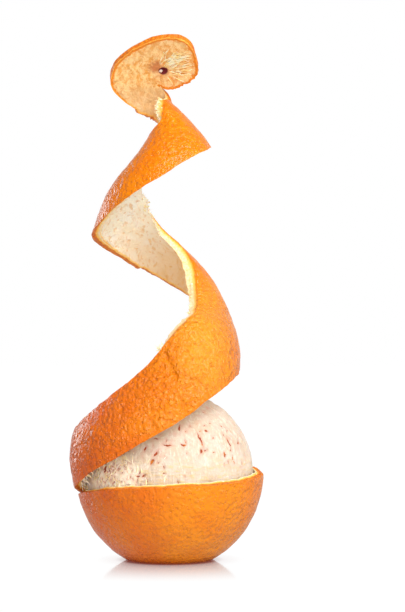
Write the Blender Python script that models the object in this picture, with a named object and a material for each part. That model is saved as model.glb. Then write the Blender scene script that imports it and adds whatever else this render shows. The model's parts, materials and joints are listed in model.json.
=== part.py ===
"""An orange peeled by hand in one long spiral, drawn up off the fruit.

The peel is one piece: a cup that still holds the fruit, a ribbon that climbs nearly two turns, and the cap
from the stem end, which hangs tilted at the top. The peeled fruit sits in the cup. Lengths are in
millimetres and angles in degrees, and points are turned into metres as they enter a mesh. Turn angles run
counter-clockwise seen from above, with 0 at +X, and 270 faces the viewer at -Y.
"""

import math

import bmesh
import bpy
import numpy as np

MM = 0.001

# The whole orange: a ball standing on the small flat that its own weight makes.
ORANGE_RADIUS = 40.0
ORANGE_HALF_HEIGHT = 41.9
ORANGE_CENTRE = 37.4
PEEL_THICKNESS = 3.5
CAP_THICKNESS = 2.6
THINNING = (150.0, 190.0)  # heights between which the wall thins from the one to the other
FRUIT_GAP = 0.5  # at the coarse wall's corners: its flat facets take up to half of it
FRUIT_TOP = 72.6
FRUIT_SEGMENTS, FRUIT_RINGS = 45, 24

# The knife's cut ends at ROOT, where the ribbon leaves the cup, and the ribbon meets the cap at JOIN.
ROOT, JOIN = 165, 837
TURN = 360
COLUMN_STEP = 8
STRIP_ROWS = 7
BASE_ROWS = 6
BASE_DIP = 8.0
CAP_DIP = 4.0

# Height of the cup's cut rim: it climbs one ribbon width in one turn.
RIM_HEIGHT = {ROOT: 26.5, 270: 34.0, 360: 36.6, 450: 47.0, ROOT + TURN: 56.5}
RIBBON_TOP_AT_ROOT = RIM_HEIGHT[ROOT + TURN]
NOTCH_OPENING = 0.15  # how fast the ribbon's lower edge parts from the rim, in mm per degree
ROOT_BLEND = 45  # the turn over which the ribbon leaves the ball's shape
JOIN_BLEND = 45
CAP_NOTCH_OPENING = 0.04
CAP_FLARE = 0.12  # how fast the ribbon's lower edge parts from the cap's round rim, in mm per degree

# The ribbon by turn angle: distance of its middle from the spiral's axis, height of its middle, how far its
# skin side leans up, its width, and the radius of its bulge across that width.
RIBBON = {
    ROOT: (39.8, 41.5, 4, 30.0, 38),
    200: (44.2, 44.2, 3, 25.0, 28),
    235: (42.8, 57.3, 12, 26.0, 32),
    270: (37.0, 73.4, 22, 29.0, 33),
    315: (34.0, 92.5, 25, 34.0, 30),
    360: (30.5, 103.0, 34, 39.0, 22),
    405: (30.5, 122.0, 42, 36.5, 23),
    450: (26.5, 135.3, 48, 30.0, 27),
    495: (22.5, 145.0, 45, 28.0, 28),
    540: (20.0, 152.6, 44, 29.5, 22),
    585: (21.8, 162.3, 46, 30.0, 19),
    630: (21.0, 174.6, 49, 28.5, 21),
    675: (20.5, 182.6, 45, 24.5, 30),
    720: (16.5, 187.6, 41, 27.0, 40),
    780: (18.0, 190.5, 33, 18.5, 45),
    810: (18.4, 195.3, 35, 17.0, 50),
    JOIN: (15.6, 199.3, 36, 17.0, 60),
}
AXIS_DRIFT = {ROOT: 0.0, 360: -5.0, 600: -6.5, 720: -7.7, 780: -7.0, JOIN: -3.2}  # along X

# The cap is a shallow dish about the stem scar. Its rim winds in to the ribbon's inner edge.
CAP_CENTRE = (-2.8, 4.8, 211.1)
CAP_TILT = 45.0
CAP_BULGE = 70.0
CAP_RIM = {
    117: 24.0,
    150: 23.6,
    180: 23.0,
    215: 19.6,
    245: 18.6,
    275: 21.0,
    290: 22.2,
    325: 17.4,
    357: 15.2,
    394: 12.0,
    424: 10.8,
    TURN + 117: 8.0,
}
CAP_START = JOIN - 2 * TURN  # the same place as JOIN, as an angle about the stem scar
CAP_INNER = CAP_RIM[TURN + CAP_START]

# Each material's name, colour and roughness.
SKIN = ("orange skin", (0.90, 0.30, 0.02), 0.42)
PITH = ("pith", (0.93, 0.80, 0.58), 0.8)
FRUIT = ("peeled fruit", (0.94, 0.83, 0.66), 0.6)


def clear_scene():
    for thing in list(bpy.data.objects):
        bpy.data.objects.remove(thing)


def material(name, colour, roughness):
    made = bpy.data.materials.new(name)
    made.use_nodes = True
    surface = made.node_tree.nodes["Principled BSDF"]
    surface.inputs["Base Color"].default_value = (*colour, 1)
    surface.inputs["Roughness"].default_value = roughness
    surface.inputs["Metallic"].default_value = 0
    return made


def spline(table, angle):
    """A natural cubic curve through a table of values by angle."""
    knots = np.array(list(table), float)
    values = np.array(list(table.values()), float)
    gaps = np.diff(knots)
    system = np.eye(len(knots))
    bends = np.zeros_like(values)
    for i in range(1, len(knots) - 1):
        system[i, i - 1 : i + 2] = gaps[i - 1], 2 * (gaps[i - 1] + gaps[i]), gaps[i]
        bends[i] = 6 * ((values[i + 1] - values[i]) / gaps[i] - (values[i] - values[i - 1]) / gaps[i - 1])
    bends = np.linalg.solve(system, bends)
    i = int(np.clip(np.searchsorted(knots, angle) - 1, 0, len(knots) - 2))
    before = (knots[i + 1] - angle) / gaps[i]
    after = 1 - before
    straight = before * values[i] + after * values[i + 1]
    return straight + ((before**3 - before) * bends[i] + (after**3 - after) * bends[i + 1]) * gaps[i] ** 2 / 6


def ease(share):
    share = min(max(share, 0.0), 1.0)
    return share * share * (3 - 2 * share)


def around(angle):
    return np.array((math.cos(math.radians(angle)), math.sin(math.radians(angle)), 0.0))


def unit(vector):
    return vector / np.linalg.norm(vector)


def latitude(height):
    return math.asin((height - ORANGE_CENTRE) / ORANGE_HALF_HEIGHT)


def on_orange(angle, lat):
    """The point of the uncut orange's skin at this angle and latitude (radians)."""
    point = ORANGE_RADIUS * math.cos(lat) * around(angle)
    point[2] = max(ORANGE_CENTRE + ORANGE_HALF_HEIGHT * math.sin(lat), 0.0)
    return point


def on_cap(angle, distance):
    """The point of the cap's skin at this distance from the stem scar, measured over the skin."""
    tilt = math.radians(CAP_TILT)
    outward = np.array((0.0, math.cos(tilt), math.sin(tilt)))
    down = np.array((0.0, math.sin(tilt), -math.cos(tilt)))
    bend = distance / CAP_BULGE
    across = around(angle)[0] * np.array((1.0, 0.0, 0.0)) + around(angle)[1] * down
    return np.array(CAP_CENTRE) + CAP_BULGE * (math.sin(bend) * across + (math.cos(bend) - 1) * outward)


def ribbon_middle(turn):
    radius, height = spline(RIBBON, turn)[:2]
    middle = radius * around(turn) + (spline(AXIS_DRIFT, turn), 0, 0)
    middle[2] = height
    return middle


def on_free_ribbon(turn, share):
    """The point of the ribbon's skin, with share 0 at its lower edge and 1 at its upper edge."""
    lean, width, bulge = spline(RIBBON, turn)[2:]
    along = unit(ribbon_middle(turn + 0.5) - ribbon_middle(turn - 0.5))
    outward = unit(around(turn) - around(turn) @ along * along)
    up = np.cross(outward, along)
    lean = math.radians(lean)
    facing = math.cos(lean) * outward + math.sin(lean) * up
    across = math.cos(lean) * up - math.sin(lean) * outward
    bend = (share - 0.5) * width / bulge
    return ribbon_middle(turn) + bulge * (math.sin(bend) * across + (math.cos(bend) - 1) * facing)


def on_ribbon(turn, share):
    """The ribbon's skin, which grows out of the cup's at the root and into the cap's at the join."""
    point = on_free_ribbon(turn, share)
    if turn < ROOT + ROOT_BLEND:
        lower = latitude(spline(RIM_HEIGHT, turn) + NOTCH_OPENING * (turn - ROOT))
        lat = lower + (latitude(RIBBON_TOP_AT_ROOT) - lower) * share
        loose = ease((turn - ROOT) / ROOT_BLEND)
        point = (1 - loose) * on_orange(turn, lat) + loose * point
    if turn > JOIN - JOIN_BLEND:
        upper = spline(CAP_RIM, turn - TURN) + CAP_NOTCH_OPENING * (JOIN - turn)
        lower = CAP_RIM[CAP_START] + CAP_FLARE * (JOIN - turn)
        distance = lower + (upper - lower) * share
        joined = ease((turn - JOIN + JOIN_BLEND) / JOIN_BLEND)
        point = (1 - joined) * point + joined * on_cap(turn - 2 * TURN, distance)
    return point


def dip(turn, start):
    """0 at the cut's end and 1 half a turn on, rising fast, so that the wedge beside it has no slivers."""
    return math.sqrt(max(math.sin(math.pi * (turn - start) / TURN), 0.0))


def base_row(turn):
    """Latitude of the row that the base ends in and the strip's wedge stands on."""
    return latitude(RIM_HEIGHT[ROOT] - BASE_DIP * dip(turn, ROOT))


def cap_row(turn):
    """Distance from the stem scar of the row that the cap's middle ends in."""
    return CAP_INNER - CAP_DIP * dip(turn, CAP_START)


def ring(mesh, place, start, size):
    """One closed row of vertices, at every column of a turn."""
    turns = range(start, start + TURN, COLUMN_STEP)
    return [mesh.verts.new(MM * place(turn, size(turn))) for turn in turns]


def join_columns(mesh, columns):
    """Faces between neighbouring columns. A wedge's thin end is one vertex, so corners may repeat."""
    for left, right in zip(columns, columns[1:]):
        for row in range(len(left) - 1):
            corners = (left[row], right[row], right[row + 1], left[row + 1])
            corners = tuple(dict.fromkeys(corners))
            if len(corners) > 2:
                mesh.faces.new(corners)


def join_rings(mesh, rings):
    columns = [list(column) for column in zip(*rings)]
    join_columns(mesh, columns + columns[:1])


def add_base(mesh):
    """The closed part of the cup below the cut. Returns its top ring."""
    flat_edge = -math.asin(ORANGE_CENTRE / ORANGE_HALF_HEIGHT)
    rings = []
    for share in np.linspace(0, 1, BASE_ROWS + 1):
        rings.append(ring(mesh, on_orange, ROOT, lambda turn: (1 - share) * flat_edge + share * base_row(turn)))
    join_rings(mesh, rings)
    mesh.faces.new(rings[0][::-1])
    return rings[-1]


def add_cap(mesh):
    """The closed part of the cap round the stem scar. Returns its outer ring."""
    outer = ring(mesh, on_cap, CAP_START, cap_row)
    inner = ring(mesh, on_cap, CAP_START, lambda turn: cap_row(turn) / 2)
    centre = mesh.verts.new(MM * on_cap(0, 0))
    join_rings(mesh, [outer, inner, [centre] * len(inner)])
    return outer


def thin_towards_cap(body):
    """Vertex weights for the wall: full thickness on the fruit and the ribbon, the cap's on the cap."""
    group = body.vertex_groups.new(name="thickness")
    for vertex in body.data.vertices:
        height = vertex.co.z / MM
        thinned = ease((height - THINNING[0]) / (THINNING[1] - THINNING[0]))
        group.add([vertex.index], 1 + (CAP_THICKNESS / PEEL_THICKNESS - 1) * thinned, "REPLACE")
    return group


def add_strip(mesh, base_ring, cap_ring):
    """The long strip: a wedge on the base, then the ribbon, then a wedge on the cap."""
    shares = np.linspace(0, 1, STRIP_ROWS + 1)
    columns = [[base_ring[0]] * len(shares)]
    for index in range(1, len(base_ring)):
        turn = ROOT + index * COLUMN_STEP
        rise = latitude(spline(RIM_HEIGHT, turn)) - base_row(turn)
        free = [mesh.verts.new(MM * on_orange(turn, base_row(turn) + rise * share)) for share in shares[1:]]
        columns.append([base_ring[index], *free])
    for turn in range(ROOT, JOIN + 1, COLUMN_STEP):
        points = [on_ribbon(turn, share) for share in shares]
        free = [mesh.verts.new(MM * point) for point in points[1:-1]]
        lower = base_ring[0] if turn == ROOT else mesh.verts.new(MM * points[0])
        upper = cap_ring[0] if turn == JOIN else mesh.verts.new(MM * points[-1])
        columns.append([lower, *free, upper])
    for index in range(1, len(cap_ring)):
        turn = CAP_START + index * COLUMN_STEP
        rim, row = spline(CAP_RIM, turn), cap_row(turn)
        free = [mesh.verts.new(MM * on_cap(turn, rim + (row - rim) * share)) for share in shares[:-1]]
        columns.append([*free, cap_ring[index]])
    columns.append([cap_ring[0]] * len(shares))
    join_columns(mesh, columns)


def smooth(body, sharp_above=35):
    body.data.shade_smooth()
    body.data.set_sharp_from_angle(angle=math.radians(sharp_above))


def peel():
    """The skin as one surface, thickened inwards, so that the spiral cut gets its faces."""
    mesh = bmesh.new()
    add_strip(mesh, add_base(mesh), add_cap(mesh))
    data = bpy.data.meshes.new("peel")
    mesh.to_mesh(data)
    mesh.free()
    body = bpy.data.objects.new("peel", data)
    bpy.context.collection.objects.link(body)
    data.materials.append(material(*SKIN))
    data.materials.append(material(*PITH))
    smooth(body)
    wall = body.modifiers.new("wall", "SOLIDIFY")
    wall.thickness = MM * PEEL_THICKNESS
    wall.offset = -1
    wall.use_even_offset = True
    wall.vertex_group = thin_towards_cap(body).name
    wall.material_offset = 1
    wall.material_offset_rim = 1
    return body


def fruit():
    """The peeled orange: a ball that fills the cup and stands a little lower than the skin did."""
    bpy.ops.mesh.primitive_uv_sphere_add(segments=FRUIT_SEGMENTS, ring_count=FRUIT_RINGS, radius=1)
    body = bpy.context.object
    body.name = body.data.name = "fruit"
    wall = PEEL_THICKNESS + FRUIT_GAP
    for vertex in body.data.vertices:
        x, y, z = vertex.co
        half_height = FRUIT_TOP - ORANGE_CENTRE if z > 0 else ORANGE_HALF_HEIGHT - wall
        height = max(ORANGE_CENTRE + half_height * z, wall)
        vertex.co = MM * x * (ORANGE_RADIUS - wall), MM * y * (ORANGE_RADIUS - wall), MM * height
    body.data.materials.append(material(*FRUIT))
    smooth(body)
    return body


clear_scene()
peel()
fruit()
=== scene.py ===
"""An orange peeled by hand in one long spiral, drawn up off the fruit that still sits in its cup.

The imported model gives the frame, and this script gives the looks. Sizes are in millimetres until they enter
a mesh, but the floor, the lights and the view are in metres. Angles are in degrees, counter-clockwise seen
from above, with 270 facing the viewer at -Y.
"""

import json
import math
import random

import bmesh
import bpy
import numpy as np
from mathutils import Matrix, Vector, noise

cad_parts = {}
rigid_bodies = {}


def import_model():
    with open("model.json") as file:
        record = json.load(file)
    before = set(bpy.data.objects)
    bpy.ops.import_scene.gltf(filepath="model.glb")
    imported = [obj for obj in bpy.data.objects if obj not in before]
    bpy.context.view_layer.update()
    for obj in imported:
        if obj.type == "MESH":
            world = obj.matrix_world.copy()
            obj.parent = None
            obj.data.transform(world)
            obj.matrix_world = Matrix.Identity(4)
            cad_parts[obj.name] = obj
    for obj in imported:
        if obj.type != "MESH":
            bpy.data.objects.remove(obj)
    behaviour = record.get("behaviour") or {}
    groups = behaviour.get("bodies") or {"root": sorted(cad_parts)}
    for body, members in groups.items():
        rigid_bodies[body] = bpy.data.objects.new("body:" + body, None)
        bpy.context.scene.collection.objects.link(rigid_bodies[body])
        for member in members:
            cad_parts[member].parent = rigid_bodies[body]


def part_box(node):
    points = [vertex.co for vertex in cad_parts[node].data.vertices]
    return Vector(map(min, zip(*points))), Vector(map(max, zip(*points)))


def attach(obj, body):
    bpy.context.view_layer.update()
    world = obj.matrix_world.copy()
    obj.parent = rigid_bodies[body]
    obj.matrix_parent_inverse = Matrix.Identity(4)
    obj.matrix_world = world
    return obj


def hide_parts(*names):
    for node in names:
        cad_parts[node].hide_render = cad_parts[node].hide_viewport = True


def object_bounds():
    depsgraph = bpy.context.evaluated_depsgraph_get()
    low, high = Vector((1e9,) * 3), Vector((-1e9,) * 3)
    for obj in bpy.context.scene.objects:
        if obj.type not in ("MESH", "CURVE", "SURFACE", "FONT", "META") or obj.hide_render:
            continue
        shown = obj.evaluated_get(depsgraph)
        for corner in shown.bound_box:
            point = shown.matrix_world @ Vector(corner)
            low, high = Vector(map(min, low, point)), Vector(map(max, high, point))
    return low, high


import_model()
cad_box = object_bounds()


# --- The peel -----------------------------------------------------------------------------------------------
# The whole skin of the orange in one piece, cut in a spiral with a small knife: waxy orange rind outside and
# spongy cream pith inside. It starts as a cup round the fruit and ends in the round cap at the stem.

MM = 0.001
ORANGE_RADIUS = 40.0
ORANGE_HALF_HEIGHT = 41.9
ORANGE_CENTRE = 37.4
PEEL_THICKNESS = 3.5
CAP_THICKNESS = 2.6
THINNING = (150.0, 190.0)  # heights between which the wall thins from the one to the other

ROOT, JOIN = 165, 837  # turn angles where the ribbon leaves the cup, and where it meets the cap
TURN = 360
RIM_HEIGHT = {ROOT: 26.5, 270: 34.0, 360: 36.6, 450: 47.0, ROOT + TURN: 56.5}
ROOT_BLEND = 45  # degrees in which the ribbon grows out of the cup
JOIN_BLEND = 45  # and in which it grows into the cap
NOTCH_OPENING = 0.15  # mm for each degree, between the cup's rim and the ribbon
CAP_NOTCH_OPENING = 0.04  # mm for each degree, between the ribbon and the cap's rim
CAP_FLARE = 0.12  # mm for each degree that the ribbon's lower edge draws away from the cap's scar
BASE_DIP = 8.0  # how far below the rim the closed bottom of the cup ends
CAP_DIP = 4.0  # how far inside the rim the closed middle of the cap ends

# The ribbon by turn angle: distance from the spiral's axis, height, lean, width, and radius of its bulge.
RIBBON = {
    ROOT: (39.8, 41.5, 4, 30.0, 38),
    200: (44.2, 44.2, 3, 25.0, 28),
    235: (42.8, 57.3, 12, 26.0, 32),
    270: (37.0, 73.4, 22, 29.0, 33),
    315: (34.0, 92.5, 25, 34.0, 30),
    360: (30.5, 103.0, 34, 39.0, 22),
    405: (30.5, 122.0, 42, 36.5, 23),
    450: (26.5, 135.3, 48, 30.0, 27),
    495: (22.5, 145.0, 45, 28.0, 28),
    540: (20.0, 152.6, 44, 29.5, 22),
    585: (21.8, 162.3, 46, 30.0, 19),
    630: (21.0, 174.6, 49, 28.5, 21),
    675: (20.5, 182.6, 45, 24.5, 30),
    720: (16.5, 187.6, 41, 27.0, 40),
    780: (18.0, 190.5, 33, 18.5, 45),
    810: (18.4, 195.3, 35, 17.0, 50),
    JOIN: (15.6, 199.3, 36, 17.0, 60),
}
AXIS_DRIFT = {ROOT: 0.0, 360: -5.0, 600: -6.5, 720: -7.7, 780: -7.0, JOIN: -3.2}

# The cap: its stem scar, its tilt, its bulge's radius, and its rim's distance from the scar by turn angle.
CAP_CENTRE = np.array((-2.8, 4.8, 211.1))
CAP_TILT = 45.0
CAP_BULGE = 70.0
CAP_RIM = {
    117: 24.0, 150: 23.6, 180: 23.0, 215: 19.6, 245: 18.6, 275: 21.0, 290: 22.2, 325: 17.4, 357: 15.2,
    394: 12.0, 424: 10.8, 477: 8.0,
}
CAP_START = JOIN - 2 * TURN  # where the cap's rim begins

# How finely each stretch is laid out.
RIBBON_STEP = 0.78
STRIP_ROWS = 34
BASE_COLUMNS, BASE_ROWS = 270, 42
CAP_COLUMNS, CAP_ROWS = 190, 12
RIM_ROWS = 6


class Course:
    """A natural cubic curve through values given by angle."""

    def __init__(self, table):
        self.knots = np.array(list(table), float)
        self.values = np.array(list(table.values()), float)
        self.gaps = np.diff(self.knots)
        system = np.eye(len(self.knots))
        bends = np.zeros_like(self.values)
        for i in range(1, len(self.knots) - 1):
            before, after = self.gaps[i - 1], self.gaps[i]
            system[i, i - 1 : i + 2] = before, 2 * (before + after), after
            rise_after = (self.values[i + 1] - self.values[i]) / after
            rise_before = (self.values[i] - self.values[i - 1]) / before
            bends[i] = 6 * (rise_after - rise_before)
        self.bends = np.linalg.solve(system, bends)

    def __call__(self, angle):
        i = int(np.clip(np.searchsorted(self.knots, angle) - 1, 0, len(self.knots) - 2))
        before = (self.knots[i + 1] - angle) / self.gaps[i]
        after = 1 - before
        straight = before * self.values[i] + after * self.values[i + 1]
        sag = (before**3 - before) * self.bends[i] + (after**3 - after) * self.bends[i + 1]
        return straight + sag * self.gaps[i] ** 2 / 6


rim_height = Course(RIM_HEIGHT)
ribbon = Course(RIBBON)
axis_drift = Course(AXIS_DRIFT)
cap_rim = Course(CAP_RIM)


def ease(share):
    """0 for a share up to 0, 1 from 1 on, and smooth between."""
    share = np.clip(share, 0.0, 1.0)
    return share * share * (3 - 2 * share)


def unit(vector):
    """The same direction, 1 long."""
    return vector / np.linalg.norm(vector, axis=-1, keepdims=True)


def around(angle):
    """The level direction at this angle."""
    return np.array((math.cos(math.radians(angle)), math.sin(math.radians(angle)), 0.0))


def latitude(height):
    """How far up the uncut orange this height is, in radians from its middle."""
    return math.asin((height - ORANGE_CENTRE) / ORANGE_HALF_HEIGHT)


def on_orange(angle, latitudes):
    """Points of the uncut orange's skin at this angle and these latitudes."""
    points = ORANGE_RADIUS * np.cos(latitudes)[:, None] * around(angle)
    points[:, 2] = np.maximum(ORANGE_CENTRE + ORANGE_HALF_HEIGHT * np.sin(latitudes), 0.0)
    return points


CAP_OUTWARD = np.array((0.0, math.cos(math.radians(CAP_TILT)), math.sin(math.radians(CAP_TILT))))
CAP_DOWN = np.array((0.0, math.sin(math.radians(CAP_TILT)), -math.cos(math.radians(CAP_TILT))))
RIGHT = np.array((1.0, 0.0, 0.0))


def on_cap(angle, distances):
    """Points of the cap's skin at these distances from the stem scar, measured over the skin."""
    bend = np.asarray(distances)[:, None] / CAP_BULGE
    across = around(angle)[0] * RIGHT + around(angle)[1] * CAP_DOWN
    return CAP_CENTRE + CAP_BULGE * (np.sin(bend) * across + (np.cos(bend) - 1) * CAP_OUTWARD)


def ribbon_middle(turn):
    """The middle of the free ribbon's width at this turn angle."""
    radius, height = ribbon(turn)[:2]
    return radius * around(turn) + np.array((axis_drift(turn), 0, height))


def on_free_ribbon(turn, shares):
    """Points across the ribbon's skin, with share 0 at its lower edge and 1 at its upper edge."""
    lean, width, bulge = ribbon(turn)[2:]
    along = unit(ribbon_middle(turn + 0.5) - ribbon_middle(turn - 0.5))
    outward = unit(around(turn) - around(turn) @ along * along)
    up = np.cross(outward, along)
    lean = math.radians(lean)
    facing = math.cos(lean) * outward + math.sin(lean) * up
    across = math.cos(lean) * up - math.sin(lean) * outward
    bend = (shares[:, None] - 0.5) * width / bulge
    return ribbon_middle(turn) + bulge * (np.sin(bend) * across + (np.cos(bend) - 1) * facing)


def on_ribbon(turn, shares):
    """The ribbon's skin, which grows out of the cup's at the root and into the cap's at the join."""
    points = on_free_ribbon(turn, shares)
    if turn < ROOT + ROOT_BLEND:
        lower = latitude(rim_height(turn) + NOTCH_OPENING * (turn - ROOT))
        latitudes = lower + (latitude(RIM_HEIGHT[ROOT + TURN]) - lower) * shares
        loose = ease((turn - ROOT) / ROOT_BLEND)
        points = (1 - loose) * on_orange(turn, latitudes) + loose * points
    if turn > JOIN - JOIN_BLEND:
        upper = cap_rim(turn - TURN) + CAP_NOTCH_OPENING * (JOIN - turn)
        lower = CAP_RIM[CAP_START] + CAP_FLARE * (JOIN - turn)
        joined = ease((turn - JOIN + JOIN_BLEND) / JOIN_BLEND)
        points = (1 - joined) * points + joined * on_cap(turn - 2 * TURN, lower + (upper - lower) * shares)
    return points


def dip(turn, start):
    """0 at the cut's end and 1 half a turn on, rising fast."""
    return math.sqrt(max(math.sin(math.pi * (turn - start) / TURN), 0.0))


def base_row(turn):
    """The latitude where the cup's closed bottom ends."""
    return latitude(RIM_HEIGHT[ROOT] - BASE_DIP * dip(turn, ROOT))


def cap_row(turn):
    """The distance from the scar where the cap's closed middle ends."""
    return CAP_RIM[TURN + CAP_START] - CAP_DIP * dip(turn, CAP_START)


HALFWAY = np.array([0.5])


def ribbon_turns():
    """Turn angles an even step apart along the ribbon's middle."""
    turns = [float(ROOT)]
    while turns[-1] < JOIN:
        stride = np.linalg.norm(on_ribbon(turns[-1] + 1, HALFWAY) - on_ribbon(turns[-1], HALFWAY))
        turns.append(turns[-1] + RIBBON_STEP / stride)
    reached, span = turns[-1] - ROOT, JOIN - ROOT
    return np.array(turns) * span / reached + ROOT * (1 - span / reached)


class Wall:
    """The peel while it is laid out: the skin's points and faces, and the strip's columns of points."""

    def __init__(self):
        self.points = []
        self.faces = []
        self.columns = []  # rows of point numbers from the strip's lower edge to its upper edge
        self.turns = []  # the turn angle of each column, from ROOT to JOIN + TURN
        self.free = []  # which ends of each column are cut edges

    def add(self, points):
        """Adds points and returns their numbers."""
        first = len(self.points)
        self.points.extend(points)
        return list(range(first, len(self.points)))

    def join(self, columns):
        """Fills the space between neighbouring columns with faces."""
        for left, right in zip(columns, columns[1:]):
            for row in range(len(left) - 1):
                corners = (left[row], right[row], right[row + 1], left[row + 1])
                corners = tuple(dict.fromkeys(corners))
                if len(corners) > 2:
                    self.faces.append(corners)

    def add_disc(self, place, start, middle, ring, count, rows, order):
        """A closed round patch, from its middle out to the ring where the strip begins. Returns the ring."""
        hub = self.add(place(start, np.array([middle])))
        columns = []
        for index in range(count):
            turn = start + TURN * index / count
            columns.append(hub + self.add(place(turn, np.linspace(middle, ring(turn), rows + 1)[1:])))
        self.join([column[::order] for column in columns + columns[:1]])
        return [column[-1] for column in columns]

    def add_column(self, column, turn, lower_free, upper_free):
        self.columns.append(column)
        self.turns.append(turn)
        self.free.append((lower_free, upper_free))


def lay_out_skin():
    """The outer skin: the cup's closed bottom, the long strip, and the closed middle of the cap."""
    wall = Wall()
    shares = np.linspace(0, 1, STRIP_ROWS + 1)
    base = wall.add_disc(on_orange, ROOT, -math.pi / 2, base_row, BASE_COLUMNS, BASE_ROWS, 1)
    cap = wall.add_disc(on_cap, CAP_START, 0.0, cap_row, CAP_COLUMNS, CAP_ROWS, -1)

    wall.add_column([base[0]] * (STRIP_ROWS + 1), ROOT - TURN, False, False)
    for index in range(1, BASE_COLUMNS):
        turn = ROOT + TURN * index / BASE_COLUMNS
        rise = latitude(rim_height(turn)) - base_row(turn)
        free = wall.add(on_orange(turn, base_row(turn) + rise * shares[1:]))
        wall.add_column([base[index], *free], turn - TURN, False, True)
    for turn in ribbon_turns():
        points = on_ribbon(turn, shares)
        if turn == ROOT:
            column = [base[0], *wall.add(points[1:])]
        elif math.isclose(turn, JOIN):
            column = [*wall.add(points[:-1]), cap[0]]
        else:
            column = wall.add(points)
        wall.add_column(column, turn, True, True)
    for index in range(1, CAP_COLUMNS):
        turn = CAP_START + TURN * index / CAP_COLUMNS
        rim, row = cap_rim(turn), cap_row(turn)
        free = wall.add(on_cap(turn, rim + (row - rim) * shares[:-1]))
        wall.add_column([*free, cap[index]], turn + 2 * TURN, True, False)
    wall.add_column([cap[0]] * (STRIP_ROWS + 1), JOIN + TURN, False, False)
    wall.join(wall.columns)
    wall.points = np.array(wall.points)
    return wall


def normals_of(points, faces):
    """Smooth unit normals of a surface given as faces of three or four corners."""
    corners = np.array([(*face, face[0]) if len(face) == 3 else face for face in faces])
    a, b, c, d = (points[corners[:, k]] for k in range(4))
    facing = np.cross(c - a, d - b)
    normals = np.zeros_like(points)
    for k in range(4):
        np.add.at(normals, corners[:, k], facing)
    return unit(normals)


def ripple(points, size, seed, octaves=2):
    """Soft noise between about -1 and 1 at these points, with features of about this size."""
    shift = Vector((seed * 7.3, seed * 3.1, seed * 5.7))
    places = [Vector(point) / size + shift for point in points]
    return np.array([noise.fractal(place, 0.8, 2.0, octaves) for place in places])


class Lie:
    """How one column of the strip lies: its points, its place along the strip, and the way across it."""

    def __init__(self, wall, index, along):
        self.numbers = np.array(wall.columns[index])
        self.turn = wall.turns[index]
        self.along = along
        self.free = wall.free[index]
        self.skin = wall.points[self.numbers]
        steps = np.linalg.norm(np.diff(self.skin, axis=0), axis=1)
        self.climb = np.concatenate([[0], np.cumsum(steps)])
        self.width = self.climb[-1]

    def ends(self):
        """For each end that is a cut edge: every point's distance from it, the way out, and which it is."""
        if self.width < 0.01:
            return
        if self.free[0]:
            yield self.climb, unit(self.skin[0] - self.skin[1]), "lower"
        if self.free[1]:
            yield self.width - self.climb, unit(self.skin[-1] - self.skin[-2]), "upper"


def lies(wall):
    """Every column of the strip in turn, from the cup's end to the cap's."""
    along = 0.0
    middles = [wall.points[column[len(column) // 2]] for column in wall.columns]
    for index, middle in enumerate(middles):
        along += np.linalg.norm(middle - middles[max(index - 1, 0)])
        yield Lie(wall, index, along)


def wave(along, size, seed):
    """Noise between -1 and 1 that changes along the strip."""
    return noise.noise(Vector((along / size, seed, 0.5)))


NARROW = 9.0  # a strip under this width is cut and moved less, so that its edges keep apart
KNIFE_DRIFT = ((0.45, 15.0), (0.28, 5.0), (0.14, 1.9))  # how far the knife wandered, and over what length
DRIFT_REACH = 5.0  # how far in from an edge its wandering moves the skin
EDGE_SEEDS = {"lower": 3.0, "upper": 11.0}

# On the lower edge: where the blade hacked, as the turns from and to and how deep its teeth are; the slivers,
# as the turn where each starts, that of its tip and how far it stands out; and a blunted corner, as its turn,
# its spread and how far in it goes.
SAWN = ((786, 836, 1.3), (1070, 1192, 1.2), (430, 470, 0.35))
TOOTH_LENGTH = 1.6
SPURS = ((470.0, 452.0, 1.2), (822.0, 840.0, 1.2))
SPUR_END = 1.6  # degrees in which a sliver drops away past its tip
ROUNDED = (706.0, 5.0, 0.9)


def spur(turn, start, tip):
    """0 at the start, rising to 1 at the tip and dropping away just past it."""
    share = (turn - start) / (tip - start)
    return ease(share) if share < 1 else 1 - ease(abs(turn - tip) / SPUR_END)


def cut_by_hand(wall):
    """Makes the cut edges wander as a knife held in the hand does, with small teeth where it hacked."""
    for lie in lies(wall):
        for distance, out, side in lie.ends():
            seed = EDGE_SEEDS[side]
            drift = 0.0
            for index, (reach, length) in enumerate(KNIFE_DRIFT):
                drift += reach * wave(lie.along, length, seed + 2 * index)
            if side == "lower":
                for start, end, depth in SAWN:
                    if start < lie.turn < end:
                        drift += depth * (0.3 - abs(1.5 * wave(lie.along, TOOTH_LENGTH, seed + 6)))
                drift += sum(reach * spur(lie.turn, start, tip) for start, tip, reach in SPURS)
                turn, spread, blunt = ROUNDED
                drift -= blunt * math.exp(-(((lie.turn - turn) / spread) ** 2))
            room = ease(lie.width / NARROW)
            fade = 1 - ease(distance / min(DRIFT_REACH, 0.5 * lie.width))
            wall.points[lie.numbers] += room * drift * fade[:, None] * out


# How strongly the skin is wrinkled, by turn angle.
WRINKLED = {
    -195: 0.1, 165: 0.1, 215: 0.5, 250: 1.0, 290: 1.0, 330: 0.4, 420: 0.3, 480: 0.3, 560: 0.4, 620: 0.25,
    700: 0.2, 837: 0.2, 1197: 0.1,
}
WRINKLE_SLANT = 0.35
RIDGE_HEIGHT, RIDGE_ALONG, RIDGE_ACROSS = 0.20, 1.9, 6.5
SWELL_HEIGHT, SWELL_ALONG, SWELL_ACROSS = 0.16, 4.5, 9.0

FOLD_TURN, FOLD_LEAN = 288.0, -13.0  # the fold in the first turn: where it starts, and how far round it runs
FOLD_STEP, FOLD_GROOVE = 0.6, 1.1  # how much prouder the skin is past it, and how deep its crease is
FOLD_ROUNDING, FOLD_FADE, CREASE_WIDTH = 1.3, 20, 1.6  # in degrees
FOLD_START, CREASE_END = 0.40, 0.90  # the shares of the ribbon's width where they begin and end


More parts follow.
